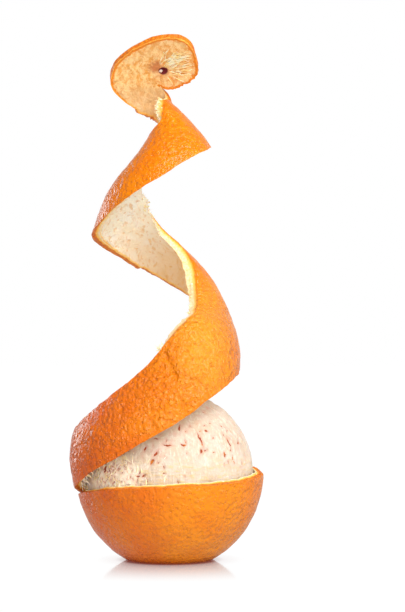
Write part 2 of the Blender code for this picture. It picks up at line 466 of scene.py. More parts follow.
def wrinkles(wall):
    """Fine ridges across the ribbon, where the skin was bent as it came away, and one fold near its start."""
    strength = Course(WRINKLED)
    heights = np.zeros(len(wall.points))
    for lie in lies(wall):
        slanted = lie.along + WRINKLE_SLANT * lie.climb
        for number, place, climb in zip(lie.numbers, slanted, lie.climb):
            ridge = noise.noise(Vector((place / RIDGE_ALONG, climb / RIDGE_ACROSS, 4.0)))
            swell = noise.noise(Vector((place / SWELL_ALONG, climb / SWELL_ACROSS, 9.0)))
            heights[number] = strength(lie.turn) * (RIDGE_HEIGHT * ridge + SWELL_HEIGHT * swell)
        if abs(lie.turn - FOLD_TURN) < 60:
            share = lie.climb / lie.width
            past = lie.turn - FOLD_TURN - FOLD_LEAN * (1 - share)
            step = 0.5 * FOLD_STEP * (1 + np.tanh(past / FOLD_ROUNDING))
            step *= np.exp(-np.maximum(past, 0) / FOLD_FADE)
            crease = FOLD_GROOVE * np.exp(-((past / CREASE_WIDTH) ** 2))
            crease *= 1 - ease((share - CREASE_END) / 0.1)
            heights[lie.numbers] += ease((share - FOLD_START) / 0.15) * (step - crease)
    return heights


# The knife went in at a slant, so the pith stands past the skin at an upper edge and stops short of it at a
# lower one: how far, by turn angle. The cup's rim runs from -195 to 165, and the cap's from 837 to 1197.
UPPER_SLANT = {
    -195: 0.4, -90: 0.9, 0: 1.0, 100: 0.7, 165: 0.4, 240: 0.4, 280: 1.4, 300: 3.0, 320: 2.2, 340: 0.9,
    360: 0.5, 400: 0.6, 440: 0.7, 470: 1.2, 520: 1.5, 585: 0.8, 640: 0.7, 700: 1.8, 760: 1.8, 837: 1.0,
}
LOWER_SLANT = {
    165: 0.6, 230: 1.0, 330: 1.2, 420: 1.9, 560: 1.9, 650: 1.2, 760: 1.2, 837: 1.2, 865: 0.1, 900: -0.3,
    1197: -0.3,
}
EDGE_REACH = 4.5  # how far in from an edge its slant and tears move the pith
RAGGED = 0.35  # how far the pith's edge strays from the slant
LEAST_SLANT = 0.1

# Where the blade ran out through the skin: how far the skin is cut back from the upper edge, by turn angle.
PARED = {270: 0.0, 300: 0.8, 340: 1.5, 355: 2.7, 395: 2.7, 420: 1.4, 450: 0.8, 480: 0.0}
PARED_REACH = 6.0  # how far in from the edge the skin is moved

# Upper edges where the pith tore instead: the turns from and to, and by how much.
TORN = ((452, 542, 1.5), (650, 765, 1.5), (330, 352, 0.8))
TONGUE_LENGTH, SHRED_LENGTH, TORN_FADE = 3.1, 1.1, 12  # in degrees along the edge


def torn_by(turn):
    """How far the torn pith stands past an upper edge here."""
    reach = 0.0
    for start, end, depth in TORN:
        share = ease(min(turn - start, end - turn) / TORN_FADE)
        tongue = abs(noise.noise(Vector((turn / TONGUE_LENGTH, depth, 2.0))))
        tooth = abs(noise.noise(Vector((turn / SHRED_LENGTH, depth, 5.0))))
        reach += share * depth * (0.35 + 1.5 * (tongue + 0.5 * tooth))
    return reach


def cut_pith(wall, pith):
    """Slants the pith near the cut edges and makes it ragged. Returns how near each point is to an edge."""
    slants = {"upper": Course(UPPER_SLANT), "lower": Course(LOWER_SLANT)}
    nearness = np.zeros(len(pith))
    for lie in lies(wall):
        room = ease(lie.width / NARROW)
        ragged = RAGGED * (wave(lie.along, 2.0, 1.0) + wave(lie.along, 6.0, 4.0))
        for distance, out, side in lie.ends():
            shift = slants[side](lie.turn) + ragged
            if lie.turn < JOIN:
                shift = max(shift, LEAST_SLANT)
            if side == "lower":
                shift = -shift
            else:
                shift += torn_by(lie.turn)
            fade = 1 - ease(distance / min(EDGE_REACH, 0.6 * lie.width))
            pith[lie.numbers] += room * shift * fade[:, None] * out
            near = np.exp(-distance / 1.5) * (1.0 if side == "lower" else 0.35)
            nearness[lie.numbers] = np.maximum(nearness[lie.numbers], near)
    return nearness


def pare_skin(wall, outside):
    """Moves the skin's points back from the upper edge where the blade ran out through it at a slant."""
    for lie in lies(wall):
        pared = np.interp(lie.turn, list(PARED), list(PARED.values()))
        for distance, out, side in lie.ends():
            if side == "upper":
                fade = 1 - ease(distance / min(PARED_REACH, 0.6 * lie.width))
                outside[lie.numbers] -= pared * fade[:, None] * out


# How far the orange reaches across the cut edge where the blade went through at a slant, by turn angle.
SHAVED_UPPER = {-195: 0.9, 165: 0.9, 215: 0.5, 837: 0.5}
SHAVED_LOWER = {165: 1.0, 400: 1.8, 480: 1.7, 530: 0.7, 600: 0.7, 680: 1.4, 837: 1.8, 900: 1.5, 1197: 1.5}


def shaved_rind(wall, loop):
    """How far the orange reaches across the cut at each point of the edge, and 0 away from it."""
    upper, lower = Course(SHAVED_UPPER), Course(SHAVED_LOWER)
    amounts = np.zeros(len(wall.points))
    amounts[loop] = 1.0
    for column, turn, free in zip(wall.columns, wall.turns, wall.free):
        if free[1]:
            amounts[column[-1]] = upper(turn)
        if free[0]:
            amounts[column[0]] = lower(turn)
    return amounts


# How strongly the inside is painted a darker tan where it lies in shade, by turn angle.
SHADE_INSIDE_BY_TURN = {
    -195: 0.2, 165: 0.2, 380: 0.9, 425: 1.0, 440: 0.8, 470: 0.3, 500: 0.0, 560: 0.0, 640: 0.3, 730: 0.5,
    765: 1.2, 800: 1.3, 837: 1.0, 1197: 0.0,
}


def painted_inside_shade(wall):
    """How strongly the painted shade tints the inside at each point."""
    inside_shading = Course(SHADE_INSIDE_BY_TURN)
    amounts = np.zeros(len(wall.points))
    for lie in lies(wall):
        amounts[lie.numbers] = inside_shading(lie.turn)
    return amounts


CLUMPS = ((287.5, 0.9, 7.0), (262.0, 0.7, 4.0), (449.0, 1.5, 2.0))  # turn angle, spread, and amount
CRUMB_BASE = 0.05


def crumbliness(wall):
    """How thickly crumbs of pith cling along the upper edges."""
    amounts = np.zeros(len(wall.points))
    for lie in lies(wall):
        amount = CRUMB_BASE + 0.5 * torn_by(lie.turn)
        for turn, spread, plenty in CLUMPS:
            amount += plenty * math.exp(-(((lie.turn - turn) / spread) ** 2))
        close = np.exp(-(lie.width - lie.climb) / 1.5)
        amounts[lie.numbers] = amount * ease((close - 0.45) / 0.4) * lie.free[1]
    return amounts


def edge_loop(wall):
    """The one cut edge, right round the peel: up the cup's rim and the ribbon, and back down from the cap."""
    upper = [column[-1] for column, free in zip(wall.columns, wall.free) if free[1]]
    lower = [column[0] for column, free in zip(wall.columns, wall.free) if free[0]]
    loop = [wall.columns[0][0], *upper, *lower[::-1]]
    return [number for number, after in zip(loop, loop[1:] + loop[:1]) if number != after]


CUT_BELLY = 0.16  # how far the cut face bulges
SHARP_ANGLE = 48
SCAR_CORE = 1.5  # the radius of the hole at the stem scar
STEM_FOLDS = 11  # how many folds run in to the stem on the outside


def inner_points(wall, normals, scar):
    """The pith's face: in from the skin by the wall's thickness, spongy, with a funnel at the stem scar."""
    skin = wall.points
    thinned = ease((skin[:, 2] - THINNING[0]) / (THINNING[1] - THINNING[0]))
    thickness = PEEL_THICKNESS + (CAP_THICKNESS - PEEL_THICKNESS) * thinned
    sponge = 0.30 * ripple(skin, 6.5, 1) + 0.22 * ripple(skin, 2.3, 2)
    funnel = 1.3 * np.exp(-((scar / SCAR_CORE) ** 2)) - 0.35 * np.exp(-(((scar - 3.0) / 1.2) ** 2))
    return skin - normals * (thickness + sponge - funnel)[:, None]


def outer_points(wall, normals, scar):
    """The skin's own face: lumpy, wrinkled, folded in to the stem, and pared where the blade ran out."""
    skin = wall.points
    scar_angle = np.arctan2((skin - CAP_CENTRE) @ CAP_DOWN, (skin - CAP_CENTRE) @ RIGHT)
    folds = np.cos(scar_angle * STEM_FOLDS + 1.5 * ripple(skin, 9, 8))
    folds *= np.exp(-(((scar - 6.0) / 3.5) ** 2))
    lumps = 0.22 * ripple(skin, 11, 3) + 0.13 * ripple(skin, 2.6, 4) + 0.22 * folds + wrinkles(wall)
    lumps -= 0.5 * np.exp(-((scar / 5.5) ** 2))
    off_the_table = ease((skin[:, 2] - 1.0) / 4.0)
    outside = skin + normals * (off_the_table * lumps)[:, None]
    pare_skin(wall, outside)
    return outside


def cut_face(outside, pith, normals, share):
    """One row of points across the cut, at this share of the way from the skin to the pith."""
    row = (1 - share) * outside + share * pith
    belly = math.sin(math.pi * share) * CUT_BELLY
    row += normals * (belly * ripple(row, 1.3, 5, 1))[:, None]
    run = np.roll(outside, -1, axis=0) - np.roll(outside, 1, axis=0)
    sideways = unit(np.cross(run, unit(outside - pith)))
    return row + sideways * (belly * (0.6 + 1.2 * ripple(row, 2.1, 6, 2)))[:, None]


def mark(data, name, values):
    """Gives every point of a mesh a value that a finish or a group of nodes can read."""
    data.attributes.new(name, "FLOAT", "POINT").data.foreach_set("value", values.astype(np.float32))


def smooth_piece(name, data):
    """A mesh as a smooth-shaded piece of the scene."""
    data.shade_smooth()
    piece = bpy.data.objects.new(name, data)
    bpy.context.collection.objects.link(piece)
    return piece


def make_peel():
    """The two faces of the wall, and the cut that joins them right round its edge."""
    wall = lay_out_skin()
    cut_by_hand(wall)
    normals = normals_of(wall.points, wall.faces)
    scar = np.linalg.norm(wall.points - CAP_CENTRE, axis=1)
    pith = inner_points(wall, normals, scar)
    margin = cut_pith(wall, pith)
    outside = outer_points(wall, normals, scar)
    loop = edge_loop(wall)
    tan, shaved, crumbly = painted_inside_shade(wall), shaved_rind(wall, loop), crumbliness(wall)

    count = len(outside)
    nothing = np.zeros(count)
    points = [outside, pith]
    marks = {
        "depth": [nothing, nothing + 1],
        "margin": [nothing, margin],
        "tan": [tan, tan],
        "shaved": [shaved, shaved],
        "crumbly": [nothing, crumbly],
    }
    faces = [tuple(face) for face in wall.faces]
    faces += [tuple(number + count for number in face[::-1]) for face in wall.faces]

    rows = [loop]
    first = 2 * count
    for row in range(1, RIM_ROWS):
        share = row / RIM_ROWS
        points.append(cut_face(outside[loop], pith[loop], normals[loop], share))
        marks["depth"].append(np.full(len(loop), share))
        marks["margin"].append(np.zeros(len(loop)))
        marks["tan"].append(tan[loop])
        marks["shaved"].append(shaved[loop])
        marks["crumbly"].append(crumbly[loop] * 0.5 * share)
        rows.append(list(range(first, first + len(loop))))
        first += len(loop)
    rows.append([number + count for number in loop])
    for outer, inner in zip(rows, rows[1:]):
        for index in range(len(loop)):
            after = (index + 1) % len(loop)
            faces.append((outer[index], outer[after], inner[after], inner[index]))

    data = bpy.data.meshes.new("peel_skin_and_pith")
    data.from_pydata((np.concatenate(points) * MM).tolist(), [], faces)
    for name, values in marks.items():
        mark(data, name, np.concatenate(values))
    body = smooth_piece("peel_skin_and_pith", data)
    data.set_sharp_from_angle(angle=math.radians(SHARP_ANGLE))
    return body, wall, pith


class Socket:
    """One output of a node. Arithmetic on it adds Math nodes, so a formula reads as one."""

    def __init__(self, tree, link):
        self.tree = tree
        self.link = link

    def output(self, name):
        return Socket(self.tree, self.link.node.outputs[name])

    def math(self, operation, *values):
        return self.tree.add("ShaderNodeMath", {"operation": operation}, dict(enumerate(values)))

    def __add__(self, other):
        return self.math("ADD", self, other)

    __radd__ = __add__

    def __sub__(self, other):
        return self.math("SUBTRACT", self, other)

    def __rsub__(self, other):
        return self.math("SUBTRACT", other, self)

    def __mul__(self, other):
        return self.math("MULTIPLY", self, other)

    __rmul__ = __mul__

    def __abs__(self):
        return self.math("ABSOLUTE", self)

    def at_least(self, other):
        return self.math("MAXIMUM", self, other)


class Tree:
    """A node tree while it is wired up, for a finish or for a shape."""

    def __init__(self, tree):
        self.nodes = tree.nodes
        self.links = tree.links
        self.nodes.clear()

    def add(self, kind, settings, sockets, output=0):
        """Adds a node: first its settings, then the values or links of its sockets. Returns one output."""
        node = self.nodes.new(kind)
        for name, value in settings.items():
            if name == "stops":
                self.set_stops(node.color_ramp, value)
            else:
                setattr(node, name, value)
        for name, value in sockets.items():
            if isinstance(value, Socket):
                self.links.new(value.link, node.inputs[name])
            else:
                node.inputs[name].default_value = value
        return Socket(self, node.outputs[output]) if len(node.outputs) else None

    def set_stops(self, ramp, stops):
        while len(ramp.elements) < len(stops):
            ramp.elements.new(1.0)
        for element, (position, colour) in zip(ramp.elements, stops):
            element.position = position
            element.color = (*colour, 1)

    def vector(self, operation, sockets, output=0):
        return self.add("ShaderNodeVectorMath", {"operation": operation}, sockets, output)

    def place(self):
        """The point on the piece in millimetres, in the object's own frame."""
        here = self.add("ShaderNodeTexCoord", {}, {}, "Object")
        return self.vector("SCALE", {0: here, "Scale": 1 / MM})

    def part(self, place, axis):
        """How far along one axis the place is."""
        return self.add("ShaderNodeSeparateXYZ", {}, {0: place}, axis)

    def distance(self, place, point):
        return self.vector("DISTANCE", {0: place, 1: tuple(point)}, "Value")

    def stretch(self, place, factors):
        return self.vector("MULTIPLY", {0: place, 1: factors})

    def move(self, place, offset):
        return self.vector("ADD", {0: place, 1: offset})

    def cloud(self, place, size, detail=2.0, roughness=0.5):
        """Noise around 0.5 with features of this size."""
        sockets = {"Vector": place, "Scale": 1 / size, "Detail": detail, "Roughness": roughness}
        return self.add("ShaderNodeTexNoise", {}, sockets)

    def patches(self, place, size, start, end, detail=3.0, roughness=0.5):
        """Patches of about this size: 0 in some, 1 in the others, and smooth between."""
        return self.step(self.cloud(place, size, detail, roughness), start, end)

    def wobble(self, place, size, reach, detail=3.0, roughness=0.5):
        """Noise around 0, with this reach in all."""
        return (self.cloud(place, size, detail, roughness) - 0.5) * reach

    def warp(self, place, size, reach):
        """The place pushed about by noise, so that a pattern read there isn't regular."""
        colour = self.cloud(place, size).output("Color")
        centred = self.vector("SUBTRACT", {0: colour, 1: (0.5, 0.5, 0.5)})
        return self.move(place, self.vector("SCALE", {0: centred, "Scale": 2 * reach}))

    def cells(self, place, size, feature="F1"):
        """Distance to the nearest of many scattered points, in cell sizes."""
        return self.add("ShaderNodeTexVoronoi", {"feature": feature}, {"Vector": place, "Scale": 1 / size})

    def step(self, value, start, end):
        """0 up to start, 1 from end on and smooth between. With start above end it falls instead."""
        settings = {"interpolation_type": "SMOOTHSTEP"}
        if start < end:
            return self.add("ShaderNodeMapRange", settings, {0: value, 1: start, 2: end, 3: 0.0, 4: 1.0})
        return self.add("ShaderNodeMapRange", settings, {0: value, 1: end, 2: start, 3: 1.0, 4: 0.0})

    def mix(self, factor, first, second):
        """The first colour where the factor is 0 and the second where it is 1."""
        settings = {"data_type": "RGBA", "clamp_factor": True}
        colours = [value if isinstance(value, Socket) else (*value, 1) for value in (first, second)]
        return self.add("ShaderNodeMix", settings, {0: factor, 6: colours[0], 7: colours[1]}, 2)

    def value(self, name):
        """A value that the piece's mesh gives for each of its points."""
        return self.add("ShaderNodeAttribute", {"attribute_name": name}, {}, "Fac")

    def bump(self, height):
        """A normal from a height in millimetres."""
        return self.add("ShaderNodeBump", {}, {"Strength": 1.0, "Distance": MM, "Height": height})

    def surface(self, **sockets):
        named = {name.replace("_", " "): value for name, value in sockets.items()}
        return self.add("ShaderNodeBsdfPrincipled", {}, named)


def finish(name):
    """A new material with an empty tree."""
    made = bpy.data.materials.new(name)
    made.use_nodes = True
    return made, Tree(made.node_tree)


# Heights between which one stretch's looks give way to the next one's.
CUP_TO_RIBBON = (34.0, 48.0)
LOWER_TO_UPPER = (105.0, 130.0)
RIBBON_TO_CAP = (184.0, 206.0)

# Rind, with the colours of its cut face.
# The first two are painted shade and light: a darker red for the side away from the key light, and a lighter
# gold for the side it falls on.
RIND_SHADE_SIDE = (0.60, 0.088, 0.0005)
RIND_LIT_SIDE = (0.74, 0.214, 0.001)
RIND_DEEP = (0.65, 0.112, 0.0005)
RIND_LIGHT = (0.77, 0.215, 0.001)
# A paler orange, painted as a broad highlight.
RIND_HIGHLIGHT = (0.84, 0.30, 0.020)
# A darker red-orange, painted as shade in the pits and in the gaps between pebbles.
RECESS_SHADE = (0.54, 0.075, 0.001)
# A light orange, painted as glints on the pebbles' tops.
PEBBLE_TOP_HIGHLIGHT = (0.94, 0.40, 0.04)
CUT_RIND = (0.86, 0.255, 0.003)
CUT_RIND_DARK = (0.62, 0.125, 0.001)
PORE_SPACING, PORE_DEPTH = 1.35, 0.18
PEBBLE_SPACING, PEBBLE_HEIGHT = 1.7, 0.50
GRAIN_SIZE, GRAIN_HEIGHT = 0.5, 0.12
BUCKLE_SIZE, BUCKLE_HEIGHT = 1.5, 0.50
RIND_PATCH = 15.0
RIND_ROUGHNESS = 0.20
RIND_BLEED = (1.0, 0.3, 0.05)  # how far light goes in, by colour


def rind_finish(tree, place):
    """Waxy orange rind with an oil pit every millimetre or so, and low rounded pebbles between them."""
    pore = tree.step(tree.cells(tree.warp(place, 3.0, 0.8), PORE_SPACING), 0.38, 0.05)
    pebble = tree.cells(tree.warp(place, 5.0, 1.2), PEBBLE_SPACING, "SMOOTH_F1")
    grain = tree.cloud(place, GRAIN_SIZE, 2.0, 0.6)
    buckles = tree.cloud(tree.stretch(tree.warp(place, 6.0, 2.0), (1.0, 1.0, 0.5)), BUCKLE_SIZE, 2.0)
    level, across = tree.part(place, "Z"), tree.part(place, "X")
    ribbon_part = tree.step(level, *CUP_TO_RIBBON)
    upper_part = tree.step(level, *LOWER_TO_UPPER)
    aside = tree.step(abs(across), 12.0, 32.0)
    height = grain * GRAIN_HEIGHT - pebble * pebble * PEBBLE_HEIGHT - pore * PORE_DEPTH
    height = height + buckles * BUCKLE_HEIGHT
    height = height * (1.4 + 0.9 * ribbon_part - 0.9 * upper_part + 0.8 * aside)

    patch = tree.patches(place, RIND_PATCH, 0.35, 0.68)
    # Painted light and shade: the rind gets the lighter gold towards the right, where the key light falls,
    # and the darker red towards the left, in its shade. The upper coil is shifted towards the gold too. This
    # counts for seven tenths against the random patches.
    lit_side = tree.step(across + tree.wobble(place, 12.0, 16, 2.0) + 12 * upper_part, -34.0, 14.0)
    tone_and_side_light = tree.mix(patch, RIND_DEEP, RIND_LIGHT), tree.mix(lit_side, RIND_SHADE_SIDE, RIND_LIT_SIDE)
    # Painted shade: the pits are made a little darker.
    colour = tree.mix(pore * 0.14, tree.mix(0.70, *tone_and_side_light), RECESS_SHADE)
    # Painted highlight: a broad paler patch on the front of the first turn, where the key light's soft
    # highlight falls.
    painted_highlight = tree.step(level, 62.0, 92.0) * (1 - upper_part) * tree.step(across, -4.0, 14.0)
    painted_highlight = painted_highlight * tree.step(across, 30.0, 18.0)
    colour = tree.mix(painted_highlight * 0.75, colour, RIND_HIGHLIGHT)
    # Painted light and shade on the pebbles of the ribbon's lit side: darker in the gaps between them, and
    # lighter glints on their tops.
    painted_speckle = ribbon_part * tree.step(across, -18.0, 0.0) * (1 - 0.6 * painted_highlight)
    colour = tree.mix(tree.step(pebble, 0.36, 0.60) * painted_speckle * 0.22, colour, RECESS_SHADE)
    colour = tree.mix(tree.step(pebble, 0.28, 0.06) * painted_speckle * 0.40, colour, PEBBLE_TOP_HIGHLIGHT)
    cut = tree.step(tree.value("depth"), 0.03, 0.12)
    blotch = tree.patches(place, 1.4, 0.42, 0.62, 4.0, 0.7)
    colour = tree.mix(cut * 0.85, colour, tree.mix(blotch, CUT_RIND_DARK, CUT_RIND))
    return tree.surface(
        Base_Color=colour,
        Roughness=RIND_ROUGHNESS + pore * 0.15 + cut * 0.35,
        Specular_IOR_Level=0.34,
        Normal=tree.bump(height),
        Subsurface_Weight=0.06,
        Subsurface_Radius=RIND_BLEED,
        Subsurface_Scale=0.0012,
    )


# Pith, by how deep it lies and where, and the orange that shows at its edges.
PITH = (0.97, 0.83, 0.61)
PITH_LIGHT = (0.98, 0.90, 0.74)
PITH_CUT = (0.91, 0.62, 0.25)
# A darker tan, painted as shade on the inside of the coil.
PITH_SHADE_TAN = (0.84, 0.49, 0.18)
PITH_FLECK = (0.80, 0.42, 0.12)
# A dull brownish tan, painted as shade on the strip just below the cap.
STRIP_PITH_SHADE = (0.66, 0.41, 0.20)
# The cap's inside: orange, partly its own colour and partly painted light shining through the thin cap from
# behind.
CAP_PITH_BACKLIT = (0.82, 0.33, 0.03)
CAP_PITH_PALE_BACKLIT = (1.0, 0.66, 0.27)
UNDER_RIND = (0.95, 0.54, 0.10)
CAP_UNDER_RIND = (0.92, 0.41, 0.05)
ZEST_EDGE = (0.95, 0.330, 0.006)
CAP_ZEST_EDGE = (0.78, 0.225, 0.004)
SCAR_DARK = (0.17, 0.006, 0.010)
SCAR_BROWN = (0.58, 0.20, 0.055)
FLECK_SPACING, DOT_SPACING, STREAK_SPACING = 2.8, 2.6, 1.3
FLUFF_SIZE, FLUFF_HEIGHT = 1.0, 0.60
SWELLING_SIZE, SWELLING_HEIGHT = 3.5, 0.6
FLECK_DEPTH = 0.15
PITH_ROUGHNESS = 0.74
PITH_BLEED = (1.0, 0.6, 0.25)


def pith_flecks(tree, place):
    """Tan dashes, dots and fine streaks, as strong as each is."""
    dashes = tree.cells(tree.stretch(tree.warp(place, 4.0, 3.0), (1.0, 0.5, 0.36)), FLECK_SPACING)
    dash = tree.step(dashes, 0.38, 0.22) * tree.patches(place, 6.0, 0.38, 0.52, 2.0)
    dotted = tree.patches(tree.move(place, (9, 4, 2)), 5.0, 0.42, 0.58, 2.0)
    dots = tree.step(tree.cells(tree.warp(place, 2.0, 0.8), DOT_SPACING), 0.25, 0.15) * dotted
    streaks = tree.stretch(tree.warp(place, 4.0, 2.0), (1.0, 0.45, 0.30))
    streak = tree.patches(streaks, STREAK_SPACING, 0.54, 0.70, 3.0, 0.55)
    return (dash * 0.7).at_least(dots * 0.8).at_least(streak * 0.6)


def scar_colour(tree, place, colour):
    """The dark hole where the core tore out of the cap, and the brown that is smudged round it."""
    scar = CAP_CENTRE - CAP_OUTWARD * CAP_THICKNESS * 0.6
    above_left = scar - 3.0 * RIGHT - 2.2 * CAP_DOWN
    wobble = tree.wobble(place, 1.2, 2.4)
    smudge = tree.step(tree.distance(place, above_left) + 1.5 * wobble, 4.6, 1.6)
    ring = tree.step(tree.distance(place, scar) + wobble, 4.2, 1.4)
    on_inside = tree.step(tree.value("depth"), 0.85, 1.0)
    colour = tree.mix(smudge.at_least(ring * 0.7) * on_inside, colour, SCAR_BROWN)
    hole = tree.step(tree.distance(place, scar) + wobble * 0.3, 2.5, 1.9)
    return tree.mix(hole * tree.step(tree.value("depth"), 0.5, 0.9), colour, SCAR_DARK)


def pith_finish(tree, place, past_rind):
    """Spongy cream pith, orange and then yellow next to the rind, with tan flecks and a brown stem scar."""
    level = tree.part(place, "Z")
    in_cap = tree.step(level, *RIBBON_TO_CAP)
    on_inside = tree.step(tree.value("depth"), 0.85, 1.0)
    blush = tree.patches(place, 12.0, 0.38, 0.66, 4.0, 0.6)
    # Painted shade: the inside is tinted a darker tan, mottled, where it lies in shade.
    shade_tint = tree.value("tan") * (0.55 + 0.9 * (tree.cloud(place, 4.0, 4.0, 0.6) - 0.25))
    colour = tree.mix(shade_tint * on_inside, tree.mix(blush, PITH, PITH_LIGHT), PITH_SHADE_TAN)
    spongy = tree.patches(place, 0.9, 0.36, 0.62, 3.0, 0.6)
    colour = tree.mix((1 - on_inside) * (0.40 + 0.55 * spongy), colour, PITH_CUT)
    veined = tree.stretch(tree.warp(place, 5.0, 2.0), (1.0, 0.5, 0.5))
    mottle = tree.patches(veined, 2.0, 0.42, 0.57, 6.0, 0.75)
    # The cap's inside is mottled orange. This is partly its own colour, where the thin pith lets the rind
    # show, and partly painted light that shines through the thin cap from behind.
    colour = tree.mix(in_cap * 0.92, colour, tree.mix(mottle, CAP_PITH_BACKLIT, CAP_PITH_PALE_BACKLIT))
    # Painted shade: the strip just below the cap is made darker where it lies in shade.
    colour = tree.mix(shade_tint * on_inside * tree.step(level, 208.0, 196.0) * in_cap, colour, STRIP_PITH_SHADE)
    fleck = pith_flecks(tree, place)
    colour = tree.mix(fleck * on_inside * 0.85, colour, PITH_FLECK)

    margin = tree.value("margin") * on_inside
    patchy = tree.cloud(place, 1.8, 3.0, 0.6) - 0.5
    under = tree.mix(in_cap, UNDER_RIND, CAP_UNDER_RIND)
    zest = tree.mix(in_cap, ZEST_EDGE, CAP_ZEST_EDGE)
    colour = tree.mix(tree.step(margin + patchy * 0.5, 0.25, 0.85) * 0.8, colour, under)
    colour = tree.mix(tree.step(margin + patchy * 0.9 + 0.50 * in_cap, 0.84, 1.06), colour, zest)
    colour = tree.mix(tree.step(past_rind, 1.5, 0.5), colour, under)
    colour = tree.mix(tree.step(past_rind, 0.55, 0.1), colour, zest)
    fluff = tree.cloud(place, FLUFF_SIZE, 4.0, 0.62) * FLUFF_HEIGHT
    swelling = tree.cloud(place, SWELLING_SIZE) * SWELLING_HEIGHT
    return tree.surface(
        Base_Color=scar_colour(tree, place, colour),
        Roughness=PITH_ROUGHNESS,
        Normal=tree.bump(fluff + swelling - fleck * FLECK_DEPTH),
        Subsurface_Weight=0.15,
        Subsurface_Radius=PITH_BLEED,
        Subsurface_Scale=0.001,
    )


RIND_DEPTH = 0.75  # how deep the rind's colour goes
SHAVED_DEPTH = 0.95  # and how much deeper it looks where the blade shaved it at a slant
SEAM_WANDER, CAP_SEAM_WANDER = 0.8, 1.4


def peel_finish():
    """Rind and pith, told apart by the depth in the wall."""
    made, tree = finish("orange rind and pith")
    place = tree.place()
    level = tree.part(place, "Z")
    thickness = PEEL_THICKNESS - (PEEL_THICKNESS - CAP_THICKNESS) * tree.step(level, *THINNING)
    wander = SEAM_WANDER + CAP_SEAM_WANDER * tree.step(level, *RIBBON_TO_CAP)
    depth = tree.value("depth") * thickness + tree.wobble(place, 1.0, wander)
    past_rind = depth - (RIND_DEPTH + SHAVED_DEPTH * tree.value("shaved"))
    inside = tree.step(past_rind, -0.15, 0.15)
    rind, pith = rind_finish(tree, place), pith_finish(tree, place, past_rind)
    both = tree.add("ShaderNodeMixShader", {}, {0: inside, 1: rind, 2: pith})
    tree.add("ShaderNodeOutputMaterial", {}, {0: both})
    return made


peel, peel_wall, peel_pith = make_peel()
peel.data.materials.append(peel_finish())
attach(peel, "root")
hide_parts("peel")


# --- The peeled fruit ---------------------------------------------------------------------------------------
# The ball of segments under the skin, still in its jacket of white pith. Where the skin pulled pith away with
# it there are small slits, with red-orange flesh behind them, and frayed threads stand up near the cup.

fruit_low, fruit_high = (np.array(corner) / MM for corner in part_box("fruit"))
FRUIT_RADIUS = (fruit_high - fruit_low)[:2].max() / 2
FRUIT_TOP = fruit_high[2] - ORANGE_CENTRE
FRUIT_BOTTOM = ORANGE_CENTRE - fruit_low[2]
FRUIT_COLUMNS, FRUIT_ROWS = 430, 220
SEGMENTS = 10
FURROW_DEPTH, FURROW_WIDTH, FURROW_START = 0.5, 1.6, 38
STEM_DIMPLE, DIMPLE_RADIUS = 2.4, 4.5
SLIT_DEPTH, SLIT_ROUNDING = 0.55, 0.35
JACKET_LOSS = 0.30  # how far the jacket lies under the solid's face on average

# The frayed patch by the ribbon's root: its angle and height, and how far it reaches each way.
FRAYED_ANGLE, FRAYED_HEIGHT = 226, 38
FRAYED_ROUND, FRAYED_UP = 17, 6.5

# The plainest slits on the side that shows: angle round the fruit, height, length, half width, and lean.
SLITS = [
    (259, 44.2, 3.0, 0.60, 40),
    (261, 47.4, 2.8, 0.45, 28),
    (261, 53.7, 2.2, 0.26, 80),
    (269, 51.1, 4.6, 0.30, 94),
    (281, 51.3, 2.6, 0.45, 100),
    (279, 58.0, 2.8, 0.30, -4),
    (295, 53.3, 7.4, 0.42, -14),
    (294, 48.5, 2.4, 0.50, 10),
    (302, 56.8, 1.6, 0.50, -30),
    (321, 51.5, 5.2, 0.36, -8),
    (334, 51.0, 3.2, 0.42, 84),
    (313, 46.6, 2.6, 0.50, 8),
    (321, 44.1, 4.0, 0.22, -6),
    (331, 42.3, 2.2, 0.40, 0),
    (253, 49.5, 2.6, 0.36, 18),
    (221, 40.5, 3.0, 0.45, 20),
    (224, 37.3, 2.0, 0.30, 66),
    (249, 38.0, 1.6, 0.34, 60),
    (229, 38.9, 2.8, 0.24, 48),
    (240, 42.5, 3.0, 0.18, 12),
]
SMALL_SLITS = 230
FRAYED_SLITS = 60
LOWEST_SLIT = 28.0
SLIT_SWAY = 0.22  # how far a slit snakes to each side
SLIT_RANGE = 3.0  # no point counts as further than this from a slit


def all_slits():
    """The plain slits, and many small ones that the skin's pull left all over."""
    draw = random.Random(4)
    slits = list(SLITS)
    for _ in range(SMALL_SLITS):
        angle, height = draw.uniform(0, TURN), draw.uniform(LOWEST_SLIT, FRUIT_TOP + ORANGE_CENTRE - 4.0)
        level = draw.random() < 0.2
        lean = draw.gauss(88, 14) if level else draw.gauss(4, 16)
        in_front = 205 < angle < 345
        length = draw.uniform(0.8, 1.9) if in_front else draw.uniform(1.2, 4.2)
        if height > 42 or draw.random() < 0.3:
            slits.append((angle, height, length, length * draw.uniform(0.07, 0.15), lean))
    for _ in range(FRAYED_SLITS):
        angle, height = draw.gauss(232, 15), draw.gauss(40, 4.0)
        slits.append((angle, height, draw.uniform(0.9, 2.4), draw.uniform(0.10, 0.20), draw.gauss(20, 30)))
    return slits


def on_fruit(angle, height):
    """The point of the fruit's face at this angle and height."""
    girth = FRUIT_RADIUS * math.sqrt(max(1 - ((height - ORANGE_CENTRE) / FRUIT_TOP) ** 2, 0))
    return girth * around(angle) + np.array((0, 0, height))


